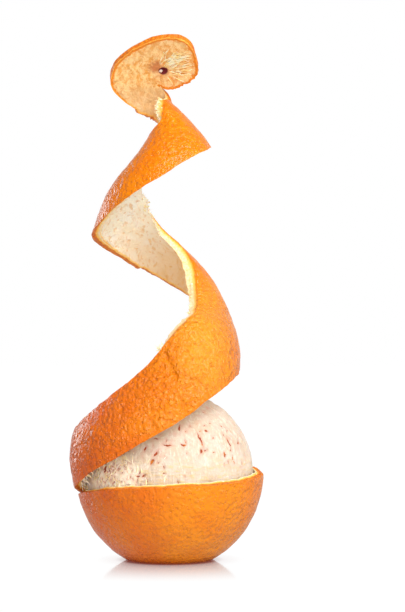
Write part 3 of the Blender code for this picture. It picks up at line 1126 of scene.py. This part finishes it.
def slit_distance(points):
    """How far each point is from the edge of the nearest slit, below 0 inside one, and 3 at the most."""
    nearest = np.full(len(points), SLIT_RANGE)
    for angle, height, length, half_width, lean in all_slits():
        centre = on_fruit(angle, height)
        east = around(angle + 90)
        north = np.cross(unit(centre - (0, 0, ORANGE_CENTRE)), east)
        lean = math.radians(lean)
        run = math.cos(lean) * north + math.sin(lean) * east
        side = math.cos(lean) * east - math.sin(lean) * north
        close = np.abs(points - centre).max(axis=1) < length + SLIT_RANGE + 1
        offset = points[close] - centre
        along = offset @ run
        across = np.abs(offset @ side + SLIT_SWAY * np.sin(1.6 * along + angle))
        past = np.abs(along) - length / 2
        width = half_width * np.clip(1 - (2 * along / length) ** 2, 0, 1)
        distance = np.where(past < 0, across - width, np.hypot(past, across))
        nearest[close] = np.minimum(nearest[close], distance)
    return nearest


def make_fruit():
    """The ball of segments: furrowed, dimpled at the stem, slit, and rough with torn pith."""
    angles = np.arange(FRUIT_COLUMNS) * 2 * math.pi / FRUIT_COLUMNS
    compass = np.stack([np.cos(angles), np.sin(angles), np.zeros(FRUIT_COLUMNS)], axis=1)
    rings = []
    for row in range(1, FRUIT_ROWS):
        lift = math.pi * (row / FRUIT_ROWS - 0.5)
        rings.append(compass * math.cos(lift) + np.array((0, 0, math.sin(lift))))
    directions = np.concatenate([[(0, 0, -1.0)], *rings, [(0, 0, 1.0)]])
    shape = directions * (FRUIT_RADIUS, FRUIT_RADIUS, 1)
    shape[:, 2] *= np.where(directions[:, 2] > 0, FRUIT_TOP, FRUIT_BOTTOM)
    shape[:, 2] += ORANGE_CENTRE

    angle = np.arctan2(directions[:, 1], directions[:, 0])
    girth = FRUIT_RADIUS * np.hypot(directions[:, 0], directions[:, 1])
    between = ((angle / (2 * math.pi) + 0.05 * ripple(shape, 14, 11)) * SEGMENTS + 0.35) % 1.0 - 0.5
    sideways = np.abs(between) * 2 * math.pi * girth / SEGMENTS
    furrow = FURROW_DEPTH * np.exp(-((sideways / FURROW_WIDTH) ** 2)) * ease((girth - 2) / 8)
    furrow *= ease((shape[:, 2] - FURROW_START) / 12)
    dimple = STEM_DIMPLE * np.exp(-((girth / DIMPLE_RADIUS) ** 2)) * (directions[:, 2] > 0)
    slit = slit_distance(shape)
    round_patch = (np.degrees(angle) % TURN - FRAYED_ANGLE) / FRAYED_ROUND
    frayed = np.exp(-(round_patch**2) - ((shape[:, 2] - FRAYED_HEIGHT) / FRAYED_UP) ** 2)
    threads = ripple(shape * (1, 1, 0.3), 1.9, 12)
    relief = 0.22 * ripple(shape, 8, 13) + 0.12 * threads + 0.08 * ripple(shape, 1.5, 14)
    relief += frayed * 0.5 * (ripple(shape * (1, 1, 0.5), 1.6, 15) - 0.6)
    gash = SLIT_DEPTH * np.exp(-((np.maximum(slit, 0) / SLIT_ROUNDING) ** 2))
    inward = furrow + dimple + JACKET_LOSS - relief + gash
    shape -= unit(shape - (0, 0, ORANGE_CENTRE)) * np.maximum(inward, 0.02)[:, None]
    shape[:, 2] = np.maximum(shape[:, 2], fruit_low[2])

    faces = []
    last = len(shape) - 1
    for column in range(FRUIT_COLUMNS):
        after = (column + 1) % FRUIT_COLUMNS
        faces.append((0, 1 + after, 1 + column))
        for row in range(FRUIT_ROWS - 2):
            here, above = 1 + row * FRUIT_COLUMNS, 1 + (row + 1) * FRUIT_COLUMNS
            faces.append((here + column, here + after, above + after, above + column))
        top_row = 1 + (FRUIT_ROWS - 2) * FRUIT_COLUMNS
        faces.append((top_row + column, top_row + after, last))
    data = bpy.data.meshes.new("peeled_fruit")
    data.from_pydata((shape * MM).tolist(), [], faces)
    mark(data, "slit", slit)
    mark(data, "frayed", frayed)
    return smooth_piece("peeled_fruit", data)


FRUIT_PITH = (0.64, 0.50, 0.365)
FRUIT_PITH_WHITE = (0.68, 0.57, 0.46)
FRUIT_STRAND = (0.78, 0.70, 0.58)
FRUIT_BLUSH = (0.66, 0.34, 0.25)
FRUIT_YELLOW = (0.71, 0.51, 0.24)
FRUIT_FRAYED = (0.76, 0.33, 0.20)
# A light cream, partly the torn pith's own colour and partly painted light over the shade of the ribbon's
# root.
FRUIT_SHRED_PAINTED_LIGHT = (1.0, 0.87, 0.68)
FLESH = (0.34, 0.050, 0.006)
FLESH_ORANGE = (0.60, 0.19, 0.02)
STRAND_SPACING, STRAND_HEIGHT = 1.1, 0.75
CREASE_SPACING, CREASE_HEIGHT = 1.8, 0.40
THICK_PATCH, THICK_HEIGHT = 8.0, 0.12
NAP_SIZE, NAP_HEIGHT = 0.5, 0.12
SHRED_SPACING, SHRED_TURN = 0.75, 0.7
JACKET_ROUGHNESS = 0.58
JACKET_BLEED = (1.0, 0.55, 0.25)


def fruit_finish():
    """White pith threads over thin membrane, with red-orange slits where the flesh shows."""
    made, tree = finish("peeled orange")
    place = tree.place()
    upright = tree.stretch(tree.warp(place, 6.0, 1.6), (1.0, 1.0, 0.30))
    level = tree.stretch(tree.warp(place, 5.0, 1.0), (0.4, 0.4, 1.6))
    threads = tree.cloud(upright, STRAND_SPACING, 4.0, 0.62)
    creases = tree.cloud(level, CREASE_SPACING, 4.0, 0.6)
    thick = tree.patches(place, THICK_PATCH, 0.36, 0.62, 4.0, 0.6)
    colour = tree.mix(thick, FRUIT_PITH, FRUIT_PITH_WHITE)
    flushed = tree.patches(tree.move(place, (30, 0, 0)), 3.6, 0.54, 0.70, 3.0, 0.6)
    above = tree.step(tree.part(place, "Z") + tree.wobble(place, 6.0, 10), 40.0, 48.0)
    colour = tree.mix(flushed * above * 0.34, colour, FRUIT_BLUSH)
    colour = tree.mix(tree.step(threads, 0.50, 0.36) * above * 0.30, colour, FRUIT_BLUSH)
    colour = tree.mix(tree.step(threads, 0.52, 0.64) * 0.7, colour, FRUIT_STRAND)
    colour = tree.mix((1 - above) * tree.step(creases, 0.46, 0.66) * 0.75, colour, FRUIT_YELLOW)

    frayed = tree.value("frayed")
    turned = {"Vector": tree.warp(place, 3.0, 1.0), "Rotation": (0, SHRED_TURN, 0)}
    slanted = tree.stretch(tree.add("ShaderNodeMapping", {}, turned), (1.0, 1.0, 0.22))
    gaps = tree.patches(slanted, SHRED_SPACING, 0.47, 0.36, 3.0, 0.6)
    # The frayed patch is lightened: partly the whiter torn pith, partly painted light that lifts the shade
    # cast by the ribbon's root.
    colour = tree.mix(tree.step(frayed, 0.02, 0.3), colour, FRUIT_SHRED_PAINTED_LIGHT)
    colour = tree.mix(gaps * tree.step(frayed, 0.08, 0.5) * 0.8, colour, FRUIT_FRAYED)

    edge = tree.value("slit") + tree.wobble(place, 0.7, 1.0, 3.0, 0.6) + 0.06
    hue = tree.patches(place, 4.0, 0.52, 0.66, 2.0)
    colour = tree.mix(tree.step(edge, 1.25, 0.1) * 0.42, colour, FRUIT_BLUSH)
    colour = tree.mix(tree.step(edge, 0.20, 0.02), colour, tree.mix(hue, FLESH, FLESH_ORANGE))
    relief = threads * STRAND_HEIGHT + creases * CREASE_HEIGHT + thick * THICK_HEIGHT
    relief = relief + tree.cloud(place, NAP_SIZE, 3.0) * NAP_HEIGHT
    skin = tree.surface(
        Base_Color=colour,
        Roughness=JACKET_ROUGHNESS - tree.step(edge, 0.3, 0.0) * 0.25,
        Specular_IOR_Level=0.30,
        Normal=tree.bump(relief),
        Subsurface_Weight=0.20,
        Subsurface_Radius=JACKET_BLEED,
        Subsurface_Scale=0.0008,
    )
    tree.add("ShaderNodeOutputMaterial", {}, {0: skin})
    return made


fruit = make_fruit()
fruit.data.materials.append(fruit_finish())
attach(fruit, "root")
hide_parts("fruit")


# --- Threads and crumbs of pith -----------------------------------------------------------------------------
# Loose bits of pith that the pull left behind: frayed threads on the fruit and between it and the root of the
# ribbon, a fringe and a tuft along the torn edge, and crumbs. All still cling to what they were torn from.


def new_group(name, inputs):
    """A Geometry Nodes group with these named inputs and one shape out, with its tree and its first input."""
    group = bpy.data.node_groups.new(name, "GeometryNodeTree")
    for title, kind in inputs:
        group.interface.new_socket(title, in_out="INPUT", socket_type="NodeSocket" + kind)
    group.interface.new_socket("Shape", in_out="OUTPUT", socket_type="NodeSocketGeometry")
    tree = Tree(group)
    return group, tree, tree.add("NodeGroupInput", {}, {}, 0)


def close_group(tree, shape, finish_input):
    """Ends a group: the shape is made real and gets its finish."""
    real = tree.add("GeometryNodeRealizeInstances", {}, {"Geometry": shape})
    done = tree.add("GeometryNodeSetMaterial", {}, {"Geometry": real, "Material": finish_input})
    tree.add("NodeGroupOutput", {}, {"Shape": done})


def grow(name, data, group, values):
    """Runs a group on a mesh and returns the result as a plain mesh object."""
    holder = bpy.data.objects.new(name, data)
    bpy.context.collection.objects.link(holder)
    modifier = holder.modifiers.new("grow", "NODES")
    modifier.node_group = group
    for item in group.interface.items_tree:
        if item.in_out == "INPUT" and item.name in values:
            modifier[item.identifier] = values[item.name]
    grown = bpy.data.meshes.new_from_object(holder.evaluated_get(bpy.context.evaluated_depsgraph_get()))
    bpy.data.objects.remove(holder)
    return smooth_piece(name, grown)


def threads_group():
    """Turns paths into thin closed tubes, as thick as each point says."""
    inputs = (("Paths", "Geometry"), ("Sides", "Int"), ("Finish", "Material"))
    group, tree, paths = new_group("pith threads", inputs)
    curve = tree.add("GeometryNodeMeshToCurve", {}, {"Mesh": paths})
    thickness = tree.add("GeometryNodeInputNamedAttribute", {"data_type": "FLOAT"}, {"Name": "thickness"})
    circle = {"Resolution": paths.output("Sides"), "Radius": 1.0}
    profile = tree.add("GeometryNodeCurvePrimitiveCircle", {}, circle)
    sockets = {"Curve": curve, "Profile Curve": profile, "Scale": thickness, "Fill Caps": True}
    tube = tree.add("GeometryNodeCurveToMesh", {}, sockets)
    close_group(tree, tube, paths.output("Finish"))
    return group


CRUMB_TILT, CRUMB_SPIN = 0.7, 6.28  # in radians


def crumbs_group():
    """Scatters the crumb shapes over a surface, as thickly as its crumbly value says."""
    inputs = (
        ("Surface", "Geometry"),
        ("Shapes", "Collection"),
        ("Per Area", "Float"),
        ("Smallest", "Float"),
        ("Largest", "Float"),
        ("Seed", "Int"),
        ("Finish", "Material"),
    )
    group, tree, surface = new_group("pith crumbs", inputs)
    thickly = tree.add("GeometryNodeInputNamedAttribute", {"data_type": "FLOAT"}, {"Name": "crumbly"})
    seed = surface.output("Seed")
    scatter = {"Mesh": surface, "Density": thickly * surface.output("Per Area"), "Seed": seed}
    spots = tree.add("GeometryNodeDistributePointsOnFaces", {}, scatter)
    one_of = {"Collection": surface.output("Shapes"), "Separate Children": True, "Reset Children": True}
    shapes = tree.add("GeometryNodeCollectionInfo", {}, one_of)
    sizes = {"Min": surface.output("Smallest"), "Max": surface.output("Largest"), "Seed": seed}
    size = tree.add("FunctionNodeRandomValue", {"data_type": "FLOAT"}, sizes, 1)
    placing = {
        "Points": spots,
        "Instance": shapes,
        "Pick Instance": True,
        "Rotation": spots.output("Rotation"),
        "Scale": size,
    }
    placed = tree.add("GeometryNodeInstanceOnPoints", {}, placing)
    least, most = (-CRUMB_TILT, -CRUMB_TILT, 0.0), (CRUMB_TILT, CRUMB_TILT, CRUMB_SPIN)
    turned = tree.add("FunctionNodeRandomValue", {"data_type": "FLOAT_VECTOR"}, {0: least, 1: most})
    placed = tree.add("GeometryNodeRotateInstances", {}, {"Instances": placed, "Rotation": turned})
    close_group(tree, placed, surface.output("Finish"))
    return group


class Paths:
    """Wandering paths for threads, kept as one mesh of edges with a thickness at each point."""

    def __init__(self, seed):
        self.draw = random.Random(seed)
        self.points, self.radii, self.edges = [], [], []

    def scatter(self, spread):
        """A push in any direction."""
        return np.array([self.draw.gauss(0, spread) for _ in range(3)])

    def put(self, index, point, radius):
        """The next point of a thread, joined to the one before unless it is the first."""
        if index:
            self.edges.append((len(self.points) - 1, len(self.points)))
        self.points.append(np.array(point))
        self.radii.append(radius)

    def add(self, start, heading, pull, length, radius, steps=7, sway=0.28):
        """One thread: it sets off along heading, is bent by pull, wanders a little and tapers to its end."""
        place = np.array(start, float)
        step = length / (steps - 1)
        heading = unit(np.array(heading, float))
        for index in range(steps):
            self.put(index, place, radius * (1.0 - 0.75 * index / (steps - 1)))
            heading = unit(heading + np.asarray(pull) / steps + self.scatter(sway))
            place += step * heading

    def trace(self, points, radius):
        """One thread along these points, thickest in its middle."""
        for index, point in enumerate(points):
            swell = math.sin(math.pi * (0.1 + 0.8 * index / (len(points) - 1)))
            self.put(index, point, radius * (0.3 + 0.7 * swell))

    def mesh(self, name):
        """The paths as a mesh of edges alone."""
        data = bpy.data.meshes.new(name)
        data.from_pydata((np.array(self.points) * MM).tolist(), self.edges, [])
        mark(data, "thickness", np.array(self.radii) * MM)
        return data


THREAD = (0.96, 0.84, 0.66)
THREAD_YELLOW = (0.95, 0.74, 0.42)
CRUMB = (0.88, 0.68, 0.34)
LOOSE_ROUGHNESS = 0.70


def loose_pith_finish(name, main, other, size):
    """A matt, slightly see-through finish in patches of two colours."""
    made, tree = finish(name)
    place = tree.place()
    patch = tree.patches(place, size, 0.42, 0.60)
    surface = tree.surface(
        Base_Color=tree.mix(patch, main, other),
        Roughness=LOOSE_ROUGHNESS - 0.1 * patch,
        Normal=tree.bump(tree.cloud(place, 0.4, 2.0) * 0.1),
        Subsurface_Weight=0.3,
        Subsurface_Radius=PITH_BLEED,
        Subsurface_Scale=0.001,
    )
    tree.add("ShaderNodeOutputMaterial", {}, {0: surface})
    return made


thread_finish = loose_pith_finish("pith threads", THREAD, THREAD_YELLOW, 2.5)
crumb_finish = loose_pith_finish("pith crumbs", CRUMB, THREAD, 1.5)
threads_shape = threads_group()
THREAD_SIDES = 5


def thread_piece(name, paths, look):
    """Makes one piece of a set of threads."""
    return grow(name, paths.mesh(name), threads_shape, {"Sides": THREAD_SIDES, "Finish": look})


PATCH_THREADS = 90
TUFT_THREADS = 26  # in a tuft on the fruit, close by the ribbon's root
TUFT_ANGLE, TUFT_HEIGHT = 238, 44.6
LOWEST_THREAD = 31


def fray_the_fruit():
    """Threads that stand up from the fruit near the cup, most of them where the ribbon leaves it."""
    paths = Paths(21)
    draw = paths.draw
    for _ in range(PATCH_THREADS):
        angle, height = draw.gauss(FRAYED_ANGLE, FRAYED_ROUND), draw.gauss(37.5, 5.0)
        if height < LOWEST_THREAD:
            continue
        start = on_fruit(angle, height)
        outward = unit(start - (0, 0, ORANGE_CENTRE))
        tangent = unit(np.cross((0, 0, 1.0), outward))
        rise = np.cross(outward, tangent)
        heading = 0.8 * rise * draw.choice((1, 1, -0.6)) + draw.gauss(0.35, 0.4) * tangent + 0.25 * outward
        length, radius = draw.uniform(1.5, 4.6), draw.uniform(0.20, 0.46)
        paths.add(start - 0.6 * outward, heading, -0.7 * outward, length, radius, sway=0.10)
    for _ in range(TUFT_THREADS):
        start = on_fruit(TUFT_ANGLE + draw.gauss(0, 1.6), TUFT_HEIGHT + draw.gauss(0, 1.1))
        outward = unit(start - (0, 0, ORANGE_CENTRE))
        heading = outward + paths.scatter(0.8)
        length, radius = draw.uniform(1.2, 3.0), draw.uniform(0.12, 0.30)
        paths.add(start - 0.5 * outward, heading, -0.4 * outward, length, radius)
    return paths


fruit_threads = thread_piece("fruit_threads", fray_the_fruit(), thread_finish)
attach(fruit_threads, "root")


SLOT_START, SLOT_END = ROOT + 8, 222  # turn angles of the slot between the ribbon's root and the fruit
EDGE_TUFT, EDGE_TUFT_SPREAD = 287.5, 2.2  # turn angles of a tuft left standing on the upper edge


def fray_the_peel():
    """Threads across the slot at the ribbon's root, a fringe along the torn edges, and the tuft."""
    paths = Paths(22)
    draw = paths.draw
    for lie in lies(peel_wall):
        edge = peel_pith[lie.numbers]
        if SLOT_START < lie.turn < SLOT_END:
            for _ in range(4):
                row = draw.randrange(0, len(edge) // 2)
                inward = -around(lie.turn)
                heading = inward + (draw.gauss(0, 0.4), draw.gauss(0, 0.4), draw.gauss(-0.3, 0.5))
                length, radius = draw.uniform(2.0, 4.6), draw.uniform(0.15, 0.42)
                paths.add(edge[row] - 0.4 * inward, heading, (0, 0, -0.8), length, radius)
        for distance, out, side in lie.ends():
            if side == "upper" and torn_by(lie.turn) > 0.1 and draw.random() < 0.7:
                heading = out + paths.scatter(0.45)
                length, radius = draw.uniform(0.8, 2.0), draw.uniform(0.10, 0.26)
                paths.add(edge[-1] - 0.5 * out, heading, (0, 0, -0.2), length, radius, 5)
            if side == "upper" and abs(lie.turn - EDGE_TUFT) < EDGE_TUFT_SPREAD:
                for _ in range(6):
                    heading = out + paths.scatter(0.6)
                    length, radius = draw.uniform(1.4, 3.4), draw.uniform(0.20, 0.40)
                    paths.add(lie.skin[-1] - 0.3 * out, heading, (0, 0, 0.3), length, radius, 5)
    return paths


peel_threads = thread_piece("peel_threads", fray_the_peel(), thread_finish)
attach(peel_threads, "root")


CRUMB_KINDS = 4
CRUMB_SETTINGS = {
    "Per Area": 1.1 / MM**2,
    "Smallest": 0.22 * MM,
    "Largest": 0.70 * MM,
    "Seed": 3,
    "Finish": crumb_finish,
}


def rough_ball(name, subdivisions, reshape):
    """A small ball whose corners are moved by a rule."""
    data = bpy.data.meshes.new(name)
    ball = bmesh.new()
    bmesh.ops.create_icosphere(ball, subdivisions=subdivisions, radius=1.0)
    for corner in ball.verts:
        corner.co = reshape(corner.co)
    ball.to_mesh(data)
    ball.free()
    return data


def crumb_shapes():
    """A few small irregular lumps."""
    shapes = bpy.data.collections.new("crumb shapes")
    bpy.context.scene.collection.children.link(shapes)
    draw = random.Random(5)
    for number in range(CRUMB_KINDS):
        stretch = Vector((draw.uniform(0.7, 1.5), draw.uniform(0.5, 0.9), draw.uniform(0.5, 0.9)))
        shift = Vector((number, 0, 0))
        lump = rough_ball(
            f"crumb_{number}", 1, lambda point: point * stretch * (1 + 0.5 * noise.noise(point * 1.3 + shift))
        )
        shapes.objects.link(bpy.data.objects.new(lump.name, lump))
    return shapes


shapes = crumb_shapes()
peel_crumbs = grow("peel_crumbs", peel.data, crumbs_group(), {"Shapes": shapes, **CRUMB_SETTINGS})
for shape in list(shapes.objects):
    bpy.data.objects.remove(shape)
bpy.data.collections.remove(shapes)
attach(peel_crumbs, "root")


# --- The stem end -------------------------------------------------------------------------------------------
# Inside the cap, strands of pith fan out from the scar where the core tore away, and a stub of the core is
# left in it. Outside, the dry five-lobed button of the stalk is still on, grown to the skin.

STRAND_COUNT, STRAND_POINTS = 40, 9
STRAND_ANGLE, STRAND_SPREAD = -42, 42  # the way most of them run over the cap, from its right side round
STRAND_LIFT, STRAND_ARCH = 0.05, 0.35  # how far they stand off the cap's inner face at their ends and middles
RIM_MARGIN = 1.5  # how far short of the cap's rim they end
STRAND = (1.0, 0.88, 0.56)
STRAND_TAN = (1.0, 0.70, 0.27)


def cap_inside(angle, distance, lift):
    """A point on the cap's inner face, raised from it by lift, at this distance from the stem scar."""
    bend = distance / CAP_BULGE
    across = around(angle)[0] * RIGHT + around(angle)[1] * CAP_DOWN
    outward = math.sin(bend) * across + math.cos(bend) * CAP_OUTWARD
    return on_cap(angle, [distance])[0] - outward * (CAP_THICKNESS + 0.1 + lift)


def fan_out():
    """Strands from round the scar, most of them swept up and to the right."""
    paths = Paths(31)
    draw = paths.draw
    for _ in range(STRAND_COUNT):
        angle = draw.gauss(STRAND_ANGLE, STRAND_SPREAD)
        distance = draw.uniform(2.4, 7.0)
        swing = draw.gauss(4.5, 2.5) if angle < -50 else draw.gauss(-1.0, 2.5)
        stride = draw.uniform(0.6, 1.5)
        points = []
        for step in range(STRAND_POINTS):
            if distance > cap_rim((angle - CAP_START) % TURN + CAP_START) - RIM_MARGIN:
                break
            arch = STRAND_ARCH * math.sin(math.pi * step / (STRAND_POINTS - 1))
            points.append(cap_inside(angle, distance, STRAND_LIFT + arch + draw.gauss(0, 0.06)))
            distance += stride
            angle += swing / (1 + 0.12 * distance) + draw.gauss(0, 1.2)
        if len(points) > 3:
            paths.trace(points, draw.uniform(0.14, 0.34))
    return paths


strand_finish = loose_pith_finish("stem strands", STRAND, STRAND_TAN, 2.0)
cap_strands = thread_piece("cap_strands", fan_out(), strand_finish)
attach(cap_strands, "root")


CORE_RADIUS, CORE_ROUGHNESS = 0.7, 0.35
CORE = (0.90, 0.72, 0.58)
CORE_PINK = (0.80, 0.45, 0.32)
CORE_PLACE = Vector(cap_inside(170, 1.1, -0.5))


def core_corner(point):
    """Where a corner of the unit ball goes, to make a small rough lump in the scar."""
    rough = 1 + CORE_ROUGHNESS * noise.noise(point * 1.4 + Vector((2.0, 0, 0)))
    return (CORE_PLACE + point * rough * CORE_RADIUS) * MM


core_stub = smooth_piece("core_stub", rough_ball("core_stub", 3, core_corner))
core_stub.data.materials.append(loose_pith_finish("core stub", CORE, CORE_PINK, 1.2))
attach(core_stub, "root")


STALK = (0.16, 0.15, 0.045)
STALK_DRY = (0.33, 0.21, 0.085)
STALK_ROUGHNESS = 0.72
BUTTON_LOBES, BUTTON_RADIUS = 5, 3.6
BUTTON_WAIST = 0.62  # the star's reach between its lobes, as a share of that at their tips
BUTTON_RINGS, BUTTON_SIDES = 9, 60
BUTTON_THICKNESS, STALK_HEIGHT, STALK_RADIUS = 0.55, 1.0, 1.1
BOWL_DEPTH, BOWL_RADIUS = 0.5, 5.5  # the skin's hollow round the stalk
TOP_SHARE = 0.8  # the rings from here on go down over the button's edge


def button_point(share, angle):
    """A point of the button's face, at this share of the way out to its edge and under it."""
    lobe = 0.5 + 0.5 * math.cos(math.radians(angle * BUTTON_LOBES))
    reach = BUTTON_RADIUS * (BUTTON_WAIST + (1 - BUTTON_WAIST) * lobe**1.5)
    distance = reach * min(share / TOP_SHARE, 1.0)
    dome = STALK_HEIGHT * math.exp(-((distance / STALK_RADIUS) ** 2))
    dome += BUTTON_THICKNESS * (1 - (distance / (reach + 0.1)) ** 4)
    under = -0.5 * (share - TOP_SHARE) / (1 - TOP_SHARE)
    bowl = -BOWL_DEPTH * math.exp(-((distance / BOWL_RADIUS) ** 2))
    lift = bowl + (dome if share < TOP_SHARE else under)
    lift += 0.08 * noise.noise(Vector((angle / 9, distance, 3.0)))
    return on_cap(angle, [distance])[0] + CAP_OUTWARD * lift


def make_button():
    """The dry button: a thick five-lobed star hugging the skin, with the stub of the stalk in its middle."""
    points, faces = [], []
    for ring in range(BUTTON_RINGS + 1):
        for side in range(BUTTON_SIDES):
            points.append(button_point(ring / BUTTON_RINGS, TURN * side / BUTTON_SIDES))
    hub = len(points)
    points.append(CAP_CENTRE + CAP_OUTWARD * 0.95)
    for side in range(BUTTON_SIDES):
        after = (side + 1) % BUTTON_SIDES
        faces.append((hub, side, after))
        for ring in range(BUTTON_RINGS):
            inner, outer = ring * BUTTON_SIDES, (ring + 1) * BUTTON_SIDES
            faces.append((inner + side, outer + side, outer + after, inner + after))
    faces.append(tuple(range(BUTTON_RINGS * BUTTON_SIDES, hub))[::-1])
    data = bpy.data.meshes.new("stalk_button")
    data.from_pydata((np.array(points) * MM).tolist(), [], faces)
    mesh = bmesh.new()
    mesh.from_mesh(data)
    bmesh.ops.remove_doubles(mesh, verts=mesh.verts, dist=0.01 * MM)
    bmesh.ops.recalc_face_normals(mesh, faces=mesh.faces)
    mesh.to_mesh(data)
    mesh.free()
    return smooth_piece("stalk_button", data)


def stalk_finish():
    """Dry olive-green wood, tan in patches."""
    made, tree = finish("dry stalk")
    place = tree.place()
    fibre = tree.cloud(place, 0.6, 4.0, 0.65)
    patch = tree.patches(place, 1.5, 0.38, 0.62)
    surface = tree.surface(
        Base_Color=tree.mix(patch, STALK, STALK_DRY),
        Roughness=STALK_ROUGHNESS - patch * 0.1,
        Normal=tree.bump(fibre * 0.35),
    )
    tree.add("ShaderNodeOutputMaterial", {}, {0: surface})
    return made


stalk_button = make_button()
stalk_button.data.materials.append(stalk_finish())
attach(stalk_button, "root")


# --- The floor, the light and the view ----------------------------------------------------------------------
# A glossy white table that glows softly, as one lit from below does. Broad soft lights stand to the right,
# and weaker ones to the left and behind, in a white room.

FLOOR_SIZE = 6.0
FLOOR_GLOW = 1.02
WHITE = (1.0, 1.0, 1.0)
REFLECTED_SHADE = (0.42, 0.10, 0.07)
CONTACT_SHADE = (0.20, 0.02, 0.01)
FLOOR_IOR, FLOOR_ROUGHNESS = 1.45, 0.08


def make_floor():
    """The table's glow is tinted and dimmed near the cup, where its mirror image shows best: a painted
    reflection of the cup's underside, and a painted contact shadow right under it.
    """
    bpy.ops.mesh.primitive_plane_add(size=FLOOR_SIZE, location=(0, 0, 0))
    floor = bpy.context.object
    floor.name = "floor"
    made, tree = finish("white table")
    diffuse = tree.add("ShaderNodeLightPath", {}, {}, "Is Diffuse Ray")
    from_middle = tree.distance(tree.place(), (0.0, 0.0, 0.0))
    # Painted reflection of the cup's underside, then a painted contact shadow right under the cup.
    tint = tree.mix(tree.step(from_middle, 34.0, 17.0) * 0.4, WHITE, REFLECTED_SHADE)
    tint = tree.mix(tree.step(from_middle, 24.0, 19.0) * 0.85, tint, CONTACT_SHADE)
    strength = FLOOR_GLOW - 0.08 * diffuse - 0.40 * diffuse.output("Is Glossy Ray")
    white = tree.add("ShaderNodeEmission", {}, {"Color": tint, "Strength": strength})
    gloss = {"Color": (*WHITE, 1), "Roughness": FLOOR_ROUGHNESS}
    mirror = tree.add("ShaderNodeBsdfGlossy", {}, gloss)
    sheen = tree.add("ShaderNodeFresnel", {}, {"IOR": FLOOR_IOR})
    near = tree.step(from_middle, 85.0, 18.0)
    both = tree.add("ShaderNodeMixShader", {}, {0: sheen * near * 1.2, 1: white, 2: mirror})
    tree.add("ShaderNodeOutputMaterial", {}, {0: both})
    floor.data.materials.append(made)
    return floor


BRIGHTNESS = 0.60  # of the room, as the matt parts are lit by it
DIM = 0.08  # of the room, as it is mirrored outside the backdrop


def set_room():
    """A white backdrop behind at the table's height, in a room that looks dim in reflections elsewhere."""
    world = bpy.data.worlds.new("room")
    bpy.context.scene.world = world
    world.use_nodes = True
    tree = Tree(world.node_tree)
    seen = tree.add("ShaderNodeLightPath", {}, {}, "Is Camera Ray")
    side = tree.part(tree.add("ShaderNodeTexCoord", {}, {}, "Generated"), "X")
    depth, rise = side.output("Y"), side.output("Z")
    horizon = 0.15 * tree.step(abs(rise), 0.30, 0.12)
    backdrop = tree.step(depth, 0.10, 0.45) * tree.step(rise, 0.80, 0.50)
    backdrop = backdrop * (0.5 + 0.5 * tree.step(rise, 0.35, 0.18)) * (1 - 0.55 * tree.step(side, 0.35, 0.65))
    mirrored = DIM + (1 - DIM) * horizon.at_least(backdrop)
    glossy = seen.output("Is Glossy Ray")
    strength = seen + (1 - seen) * (glossy * mirrored + (1 - glossy) * BRIGHTNESS)
    glow = tree.add("ShaderNodeBackground", {}, {"Color": (*WHITE, 1), "Strength": strength})
    tree.add("ShaderNodeOutputWorld", {}, {0: glow})


make_floor()
set_room()

# Each light: where it stands, what it shines on, its width, and its power in watts.
MIDDLE = (0, 0, (cad_box[0][2] + cad_box[1][2]) / 2)
LIGHTS = {
    "key": ((0.52, -0.73, 0.80), MIDDLE, 0.80, 14.8),
    "fill": ((0.45, -1.25, 0.12), MIDDLE, 0.80, 3.2),
    "low_left": ((-0.40, -1.10, 0.02), (0, 0, 0.05), 0.60, 3.8),
    "rim_left": ((-0.58, 0.72, 0.22), (0, 0, 0.07), 0.40, 1.9),
    "rim_right": ((0.75, 0.55, 0.30), MIDDLE, 0.40, 0.15),
}
for name, (place, target, width, power) in LIGHTS.items():
    light = bpy.data.lights.new(name, "AREA")
    light.shape = "DISK"
    light.size = width
    light.energy = power
    lamp = bpy.data.objects.new(name, light)
    lamp.location = place
    lamp.rotation_euler = (Vector(target) - Vector(place)).to_track_quat("-Z", "Y").to_euler()
    lamp.visible_glossy = name != "low_left"  # that one only fills, and would leave a false glint
    bpy.context.collection.objects.link(lamp)

FOCAL_LENGTH, SENSOR_WIDTH = 130.6, 36.0  # in millimetres
VIEWED_FROM = (0.0141, -0.95, 0.1084)

camera = bpy.data.cameras.new("view")
camera.lens = FOCAL_LENGTH
camera.sensor_width = SENSOR_WIDTH
viewer = bpy.data.objects.new("view", camera)
viewer.location = VIEWED_FROM
viewer.rotation_euler = (math.pi / 2, 0, 0)
bpy.context.collection.objects.link(viewer)
bpy.context.scene.camera = viewer
bpy.context.scene.view_settings.view_transform = "Standard"
